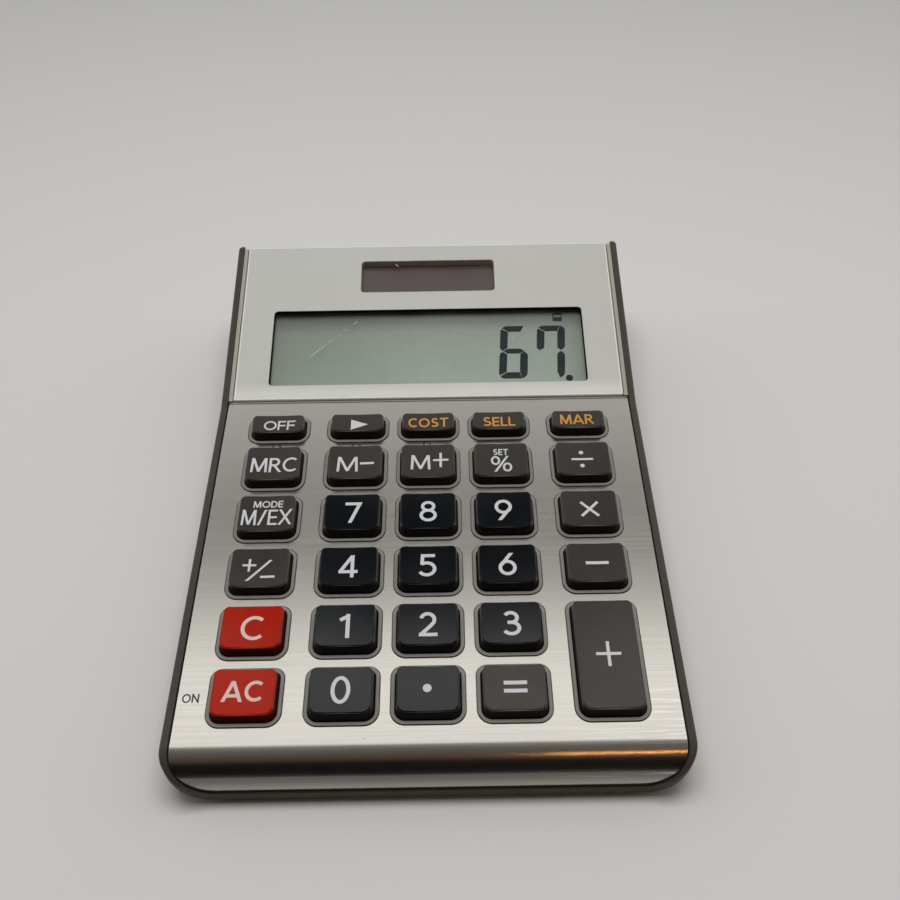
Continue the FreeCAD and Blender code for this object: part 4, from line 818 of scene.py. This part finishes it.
class CALCULATOR_OT_finish_keys(Operator):
    """Give the black, grey and red keys their semi-gloss plastic"""

    bl_idname = "calculator.finish_keys"
    bl_label = "Finish the keys"

    def execute(self, context):
        c = colours()
        # The fifth value of each row is the colour of the painted highlight on the key's top edge
        for slot, colour, roughness, gloss, edge_highlight, scale, size, speck, strength in (
            ("black", c.digit_key, 0.14, 0.40, (0.16, 0.165, 0.17), 330, 0.028, (0.1,) * 3, 0.25),
            ("grey", c.function_key, 0.27, 0.33, (0.4, 0.38, 0.36), 300, 0.024, (0.012,) * 3, 0.6),
            ("red", c.clear_key, 0.15, 0.13, (0.85, 0.2, 0.13), 300, 0.026, (0.7, 0.3, 0.25), 0.3),
        ):
            plastic = self.key_plastic(slot + " key plastic", colour, roughness, gloss, edge_highlight)
            plastic.tint(plastic.specks(scale, size), speck, strength)
            dress("key_" + slot, plastic)
        return {"FINISHED"}

    @staticmethod
    def key_plastic(name, colour, roughness, gloss, edge_highlight):
        """Semi-gloss plastic, with a painted highlight on its top edge, and painted shade and a
        duller gloss on its skirt.
        """
        plastic = moulded(name, colour, roughness, grain=4200, height=0.000003, gloss=gloss)
        s = sizes()
        cos, sin = math.cos(s.deck_tilt), math.sin(s.deck_tilt)
        keypad = (s.deck_z * cos - s.deck_y * sin) / MM

        def rise(start, end):
            return plastic.along("Z", keypad + start, keypad + end, turn=(-s.deck_tilt, 0, 0))

        # Painted highlight: a paler band round the key's rounded top edge
        edge = plastic.combine("MULTIPLY", rise(*EDGE_HIGHLIGHT_FROM), rise(*EDGE_HIGHLIGHT_TO))
        plastic.tint(edge, edge_highlight, 0.6)
        # Painted shade: the skirt is darkened below the top, and also made duller
        low = rise(*SKIRT_PAINTED_SHADE)
        plastic.tint(low, shade(colour, 0.2))
        plain = plastic.surface.inputs["Roughness"].links[0].from_socket
        duller = plastic.combine("MAXIMUM", plain, low)
        plastic.wire("Roughness", plastic.spread(duller, 0, 1, 0, 0.6))
        return plastic


class CALCULATOR_OT_finish_inside(Operator):
    """Give the board, its parts, the mat, the screws and the other inner pieces their finishes"""

    bl_idname = "calculator.finish_inside"
    bl_label = "Finish the inside"

    def execute(self, context):
        for slot, name, colour, roughness in (
            ("inner_white", "white moulding", (0.6, 0.6, 0.58), 0.5),
            ("ribbon_amber", "amber film", (0.40, 0.19, 0.03), 0.3),
            ("lead_cover", "lead cover", (0.30, 0.017, 0.013), 0.45),
            ("mat_rubber", "silicone mat", (0.51, 0.51, 0.49), 0.65),
            ("board_part_black", "component plastic", (0.012, 0.012, 0.014), 0.4),
            ("resin_black", "cast resin", (0.006, 0.006, 0.007), 0.2),
        ):
            dress(slot, moulded(name, colour, roughness))
        board = moulded("solder mask", (0.017, 0.115, 0.038), 0.35)
        board.mottle(1, 1, 0.52, 0.56, (0.03, 0.18, 0.06), 0.8, stretch=(900, 60, 1))
        dress("board_green", board)
        for slot, name, tone, rough in (
            ("screw_steel", "plated screw steel", 0.31, 0.32),
            ("cell_steel", "polished can", 0.52, 0.16),
            ("clip_steel", "spring steel", 0.48, 0.3),
        ):
            colour = (tone, tone, tone * 0.98)
            steel = Finish(name, colour, rough, metallic=1.0)
            steel.mottle(700, 3, 0.4, 0.7, shade(colour, 0.8), 0.6)
            steel.sheen_change(steel.noise(1500, 3), rough - 0.06, rough + 0.1)
            steel.relief(steel.noise(2600, 2), 0.000003)
            dress(slot, steel)
        return {"FINISHED"}


class CALCULATOR_OT_key_legends(Operator):
    """Print each key's legend on its dished top"""

    bl_idname = "calculator.key_legends"
    bl_label = "Print the key legends"

    def execute(self, context):
        c = colours()
        inks = {
            "white": (self.ink("white legend ink", c.white_ink), "inner_white"),
            "orange": (self.ink("orange legend ink", c.orange_ink), "ribbon_amber"),
            "on_red": (self.ink("legend ink on red", c.ink_on_red), "inner_white"),
        }
        levels = (PRINT_LEVELS[0], sizes().ink / MM)
        for key, column, row, *legends in LEGENDS:
            kind = "orange" if key in ORANGE_KEYS else "on_red" if key in RED_KEYS else "white"
            material, slot = inks[kind]
            slabs = [part for legend in legends for part in text_slabs(*legend, *levels)]
            middle = SHORT_KEY_MIDDLE if row == SHORT_KEY_ROW else KEY_MIDDLE
            if key == TALL_KEY:
                middle = TALL_KEY_MIDDLE
            centre = np.array((COLUMNS[column], row * ROW_PITCH + middle, 0))
            make_piece(
                "legend_" + key, slabs, lambda points: self.on_key(points, centre),
                "key_" + key + "_cap", material,
            )
        return {"FINISHED"}

    @staticmethod
    def ink(name, colour):
        ink = Finish(name, tuple(colour), 0.45)
        ink.mottle(1500, 3, 0.45, 0.75, shade(colour, 0.86), 0.5)
        ink.relief(ink.noise(4000, 2), 0.000004)
        return ink.material

    @staticmethod
    def on_key(points, centre):
        """Height over a key: the dish's lowest line, plus its radius less the leg of a
        right triangle with that radius and the distance across, plus the ink's own height."""
        radius = sizes().dish_radius
        across = points[:, 0] * MM
        dish = sizes().key_top + radius - np.sqrt(radius**2 - across**2)
        placed = (points + centre) * MM
        placed[:, 2] = dish + points[:, 2] * MM
        return on_deck(placed)


class CALCULATOR_OT_metal_prints(Operator):
    """Print the small words on the metal"""

    bl_idname = "calculator.metal_prints"
    bl_label = "Print on the metal"

    def execute(self, context):
        ink = Finish("dark print", tuple(colours().dark_ink), 0.5)
        ink.mottle(2500, 3, 0.5, 0.8, (0.09, 0.085, 0.08), 0.5)
        for word in METAL_PRINTS:
            make_piece(
                "print_" + word[0], text_slabs(*word, *PRINT_LEVELS),
                lambda points: on_deck(points * MM), CASE_BODY, ink.material,
            )
        return {"FINISHED"}


def digit_bars(lit):
    """Both edges of each dark bar of a digit that stands on its left foot, in mm.

    The bars share the box's outline, whose corners are quarter circles, and are parted by
    slanting gaps from the inner corners.
    """
    width, height = DIGIT_SIZE
    wide, tall, gap, r = BAR_WIDTH, BAR_HEIGHT, BAR_GAP, DIGIT_CORNER
    middle = height / 2 + MIDDLE_RISE
    left, tip = SIDE_TIP[0], middle + SIDE_TIP[1]
    right_outer_end, shoulder, left_inner_end = (middle + rise for rise in SHOULDERS)

    def along(*points):
        return line(*points, step=height)

    def level(edge):
        share = np.linspace(0, 1, len(edge))
        wanted = np.linspace(0, 1, BAR_POINTS)
        return np.stack([np.interp(wanted, share, values) for values in edge.T], axis=-1)

    def corner(x, start, end, count):
        return arc(x, height - r, r, r, start, end, count)

    top_outer = joined(corner(r, 142, 90, 7), np.array([[width - TOP_BAR_END, height]]))
    top_inner = along((wide + gap, height - tall), (width - wide - gap, height - tall))
    right_outer = joined(
        corner(width - r, 74, 0, 7), along((width, right_outer_end), (width - wide / 2, tip))
    )
    right_inner = along(
        (width - wide, height - tall - gap), (width - wide, shoulder), (width - wide / 2, tip)
    )
    left_outer = joined(corner(r, 152, 180, 4), along((0, shoulder), (left, tip)))
    left_inner = along((wide, height - tall - gap), (wide, left_inner_end), (left, tip))
    inset, slope, half = MIDDLE_BAR
    across_upper = along(
        (inset, middle), (wide + slope, middle + half), (width - wide - slope, middle + half),
        (width - inset, middle),
    )
    flip = np.array((1.0, -1.0))
    foot = np.array((0.0, 2 * middle))
    stretch = middle / (height - middle)

    def mirrored(edge):
        """The upper bar carried to the lower half, squeezed to that half's height."""
        lower = edge * flip + foot
        return np.column_stack((lower[:, 0], middle - (middle - lower[:, 1]) * stretch))

    bars = {
        "a": (top_outer, top_inner),
        "b": (right_outer, right_inner),
        "f": (left_outer, left_inner),
        "g": (across_upper, across_upper * flip + foot),
    }
    for lower, upper in (("d", "a"), ("c", "b"), ("e", "f")):
        bars[lower] = tuple(mirrored(edge) for edge in bars[upper])
    return [[edge if name == "g" else level(edge) for edge in bars[name]] for name in lit]


class CALCULATOR_OT_display_digits(Operator):
    """Draw the dark bars of the display's digits on its glass"""

    bl_idname = "calculator.display_digits"
    bl_label = "Draw the digits"

    def execute(self, context):
        segment = tuple(colours().segment)
        ink = Finish("dark crystal", segment, 0.35, Specular_IOR_Level=0.1)
        ink.mottle(120, 2, 0.3, 0.7, shade(segment, 1.5), 0.7)
        ink.relief(ink.noise(1500, 1), 0.000002)
        slabs = []
        for corner, lit in DIGITS:
            for edges in digit_bars(lit):
                placed = [
                    np.stack((edge[:, 0] + edge[:, 1] * DIGIT_LEAN, edge[:, 1]), -1) + corner
                    for edge in edges
                ]
                slabs.append(slab(*placed, *DIGIT_LEVELS))
        slabs.append(disc(*DECIMAL_POINT, *DIGIT_LEVELS))
        x, y, width, height = BATTERY_MARK
        rise, tall = (height + BATTERY_SLOT) / 4, (height - BATTERY_SLOT) / 2
        for side, shift in zip((1, -1), BATTERY_SHIFTS):
            middle, bar = y + side * rise + shift, tall - side * BATTERY_CAP_LESS
            slabs += text_slabs("bar", x, middle, width, bar, bar, *DIGIT_LEVELS)
        half = BATTERY_WALL / 2
        for wall in (x + half - width / 2, x - half + width / 2):
            path = line(*((wall, y + reach) for reach in BATTERY_WALL_REACH), step=height)
            slabs.append(slab(*edges_of(path, half, ("flat", "flat")), *DIGIT_LEVELS))
        make_piece(
            "display_digits", slabs, lambda points: on_panel((points - (0, 0, GLASS_DEPTH)) * MM),
            CASE_BODY, ink.material,
        )
        return {"FINISHED"}


class CALCULATOR_OT_window_edges(Operator):
    """Line the display window's walls with a black border and painted shade, and the solar
    window's with painted light, ring the panel's edge with a painted highlight, and draw the fine
    marks on the windows
    """

    bl_idname = "calculator.window_edges"
    bl_label = "Line the windows"

    def execute(self, context):
        # The display window's walls: partly a black border, partly painted shade where the recess
        # is shaded
        dark = Finish("dark window edge", (0.005, 0.005, 0.005), 0.7, Specular_IOR_Level=0.1)
        dark.mottle(400, 3, 0.4, 0.8, (0.009, 0.009, 0.009), 0.6)
        # The solar window's walls: a brown paler than the cell, painted light so that the shaded
        # walls read as the lit cell
        brown = Finish("brown window edge", (0.5, 0.42, 0.39), 0.5)
        brown.mottle(400, 3, 0.4, 0.8, (0.42, 0.35, 0.33), 0.6)
        painted_wall_linings = {"display": dark, "solar": brown}
        # Painted highlight: a pale ring along the panel's outline, standing in for the light on
        # its rounded edge
        bright = Finish("panel edge painted highlight", (0.86, 0.86, 0.83), 0.3)
        bright.mottle(300, 3, 0.4, 0.7, (0.7, 0.7, 0.67), 0.6)
        mark = Finish("scratched plastic", (0.75, 0.77, 0.76), 0.5)
        mark.mottle(3000, 3, 0.45, 0.6, (0.35, 0.37, 0.36), 0.8)
        mark.tint(mark.along("Y", *SOLAR_MARK_Y), (0.27, 0.26, 0.25))
        edge = self.ring(PANEL_EDGE_HIGHLIGHT, 0, EDGE_LEVELS, PANEL_CORNER, EDGE_WIDTH)
        self.on_the_panel("panel_edge_highlight", [edge], "panel_satin", bright)
        thick = sizes().liner / MM
        for name, size in OPENINGS.items():
            liner = self.ring(size, LINER_INSET, LINER_LEVELS, OPENING_CORNER, thick)
            self.on_the_panel(name + "_liner", [liner], "board_part_black", painted_wall_linings[name])
            scratches = [self.scratch(*scratch) for scratch in WINDOW_MARKS[name]]
            self.on_the_panel(name + "_marks", scratches, "clear_window", mark)
        return {"FINISHED"}

    @staticmethod
    def on_the_panel(name, slabs, slot, finish):
        make_piece(
            name, slabs, lambda points: on_panel(points * MM), CASE_BODY, finish.material
        )

    @staticmethod
    def scratch(start, end, wide):
        """A line that thins to both ends as an ellipse does."""
        path = line(start, end, step=0.2)
        share = np.linspace(0, 1, len(path))
        half = wide / 2 * np.sqrt(np.clip(1 - (2 * share - 1) ** 2, 0.02, 1))
        way = (path[-1] - path[0]) / np.linalg.norm(path[-1] - path[0])
        side = np.array((-way[1], way[0])) * half[:, None]
        return slab(path + side, path - side, *MARK_LEVELS)

    @staticmethod
    def ring(size, inset, levels, corner, thick):
        """Wall round an outline: a box-shaped profile carried round a rounded rectangle."""
        width, front, rear = size
        corner -= inset
        x = width / 2 - inset - corner
        y0, y1 = front + inset + corner, rear - inset - corner
        outer, inner = (
            joined(
                arc(x, y1, r, r, 0, 90, 7), arc(-x, y1, r, r, 90, 180, 7),
                arc(-x, y0, r, r, 180, 270, 7), arc(x, y0, r, r, 270, 360, 7),
            )
            for r in (corner, corner - thick)
        )
        return slab(inner, outer, *levels, closed=True)


class CALCULATOR_OT_studio(Operator):
    """Set the floor, the light and the camera"""

    bl_idname = "calculator.studio"
    bl_label = "Set the studio"

    def execute(self, context):
        self.floor()
        self.room()
        self.lamps()
        self.camera()
        context.scene.view_settings.view_transform = "Standard"
        return {"FINISHED"}

    @staticmethod
    def floor():
        """A level square on a grid of points, pale and nearly even, with painted shade far behind
        and painted light far out.
        """
        count = FLOOR_SQUARES + 1
        side = np.linspace(-FLOOR_REACH, FLOOR_REACH, count)
        x, y = np.meshgrid(side, side, indexing="ij")
        points = np.stack((x, y, np.zeros_like(x)), axis=-1).reshape(-1, 3)
        first = (np.arange(FLOOR_SQUARES)[:, None] * count + np.arange(FLOOR_SQUARES)).reshape(-1)
        faces = np.stack((first, first + count, first + count + 1, first + 1), axis=-1)
        mesh = bpy.data.meshes.new("floor")
        mesh.from_pydata(points.tolist(), [], faces.tolist())
        colour = tuple(colours().floor)
        paint = Finish("pale floor", colour, 0.7)
        paint.mottle(1.5, 2, 0.3, 0.7, shade(colour, 0.96), 0.6)
        # Painted shade: the floor darkens towards the back
        paint.tint(paint.along("Y", *FLOOR_PAINTED_SHADE_BACK), shade(colour, 0.82))
        # Painted light: far out, the floor turns paler
        away = paint.node("VectorMath", {0: paint.place}, operation="LENGTH")
        paint.tint(paint.spread(away.outputs["Value"], *FLOOR_PAINTED_LIGHT_FAR), (0.86, 0.85, 0.83))
        paint.relief(paint.noise(500, 2), 0.00001)
        mesh.materials.append(paint.material)
        floor = bpy.data.objects.new("floor", mesh)
        bpy.context.scene.collection.objects.link(floor)

    @staticmethod
    def room():
        """The room's light, by a direction's lean towards the front and its way across.

        The lean is the arc tangent of forward over up. A long lamp hangs a little behind
        the upright, the wall behind is pale and the room in front is dark. Both side
        walls are bright, and share in by how far the direction points across. The camera
        sees a pale backdrop past the floor. Metal and glass show it too, low down behind
        the object and beside it; the room in front is what the bent metal mirrors.
        """
        world = bpy.data.worlds.new("room")
        bpy.context.scene.world = world
        world.use_nodes = True
        light = Nodes(world.node_tree)
        out = light.tree.nodes["Background"]
        way = light.node("TexCoord").outputs["Generated"]
        split = light.node("SeparateXYZ", {0: way}).outputs
        lean = light.combine("ARCTAN2", split["Y"], split["Z"])
        level = light.spread(lean, math.pi / 2, -math.pi / 2)
        ramp = light.node("ValToRGB", {0: level})
        stops = ramp.color_ramp.elements
        stops.remove(stops[1])
        for index, (degrees, colour) in enumerate(ROOM):
            place = (degrees + 90) / 180
            stop = stops[0] if index == 0 else stops.new(place)
            stop.position = place
            stop.color = (*colour, 1)
        across = light.node("Math", {0: split["X"]}, operation="ABSOLUTE").outputs[0]
        beside = light.node(
            "Math", {0: split["Y"], 2: across}, operation="MULTIPLY_ADD"
        )
        beside.inputs[1].default_value = SIDE_WALL_BACK
        walls = light.spread(beside.outputs[0], *SIDE_WALL_SPAN)
        lit = light.blend(walls, ramp.outputs[0], SIDE_WALLS)
        paths = light.node("LightPath").outputs
        mirrored = light.combine("ADD", paths["Is Glossy Ray"], paths["Is Transmission Ray"])
        low = light.spread(split["Z"], *BACKGROUND_UP)
        behind = light.spread(split["Y"], *BACKGROUND_BACK)
        mirrored = light.combine("MULTIPLY", mirrored, light.combine("MULTIPLY", low, behind))
        seen = light.combine("MAXIMUM", paths["Is Camera Ray"], mirrored)
        light.tree.links.new(light.blend(seen, lit, BACKGROUND), out.inputs["Color"])
        out.inputs["Strength"].default_value = studio().world

    @staticmethod
    def lamps():
        """One soft lamp above the object, and a thin warm one that the bent metal mirrors."""
        powers = (studio().key_light, studio().warm_light)
        for power, (name, size, place, lean, colour, mirrored) in zip(powers, LAMPS):
            lamp = bpy.data.lights.new(name, "AREA")
            lamp.shape = "RECTANGLE"
            lamp.size, lamp.size_y = size
            lamp.energy = power
            lamp.color = colour
            held = bpy.data.objects.new(name, lamp)
            held.location = place
            held.rotation_euler = (math.radians(lean), 0, 0)
            held.visible_glossy = mirrored
            bpy.context.scene.collection.objects.link(held)

    @staticmethod
    def camera():
        s, t = studio(), sizes()
        tilt = Matrix.Translation((0, t.deck_y, t.deck_z)) @ Matrix.Rotation(t.deck_tilt, 4, "X")
        about_x, about_y, about_z = (
            Matrix.Rotation(angle, 4, axis) for angle, axis in zip(s.camera_turn, "XYZ")
        )
        lens = bpy.data.cameras.new("camera")
        lens.lens = s.lens
        lens.sensor_width = SENSOR_WIDTH
        lens.clip_start = NEAR_LIMIT
        camera = bpy.data.objects.new("camera", lens)
        bpy.context.scene.collection.objects.link(camera)
        camera.matrix_world = (
            tilt @ Matrix.Translation(s.camera_place) @ about_z @ about_y @ about_x
        )
        bpy.context.scene.camera = camera


STEPS = (
    CALCULATOR_OT_finish_case, CALCULATOR_OT_finish_metal, CALCULATOR_OT_finish_panel,
    CALCULATOR_OT_finish_keys, CALCULATOR_OT_finish_inside, CALCULATOR_OT_key_legends,
    CALCULATOR_OT_metal_prints, CALCULATOR_OT_display_digits, CALCULATOR_OT_window_edges,
    CALCULATOR_OT_studio,
)


class CALCULATOR_PT_steps(Panel):
    """Lists the steps that dress the calculator"""

    bl_idname = "CALCULATOR_PT_steps"
    bl_label = "Calculator"
    bl_space_type = "VIEW_3D"
    bl_region_type = "UI"
    bl_category = "Calculator"

    def draw(self, context):
        for step in STEPS:
            self.layout.operator(step.bl_idname)


GROUPS = (
    (CalculatorSizes, "calculator_sizes"),
    (CalculatorColours, "calculator_colours"),
    (CalculatorStudio, "calculator_studio"),
)


def register():
    for group, name in GROUPS:
        bpy.utils.register_class(group)
        setattr(bpy.types.Scene, name, PointerProperty(type=group))
    for step in STEPS:
        bpy.utils.register_class(step)
    bpy.utils.register_class(CALCULATOR_PT_steps)


def unregister():
    bpy.utils.unregister_class(CALCULATOR_PT_steps)
    for step in reversed(STEPS):
        bpy.utils.unregister_class(step)
    for group, name in reversed(GROUPS):
        delattr(bpy.types.Scene, name)
        bpy.utils.unregister_class(group)


def main():
    register()
    for step in STEPS:
        family, name = step.bl_idname.split(".")
        getattr(getattr(bpy.ops, family), name)()


if __name__ == "__main__":
    main()
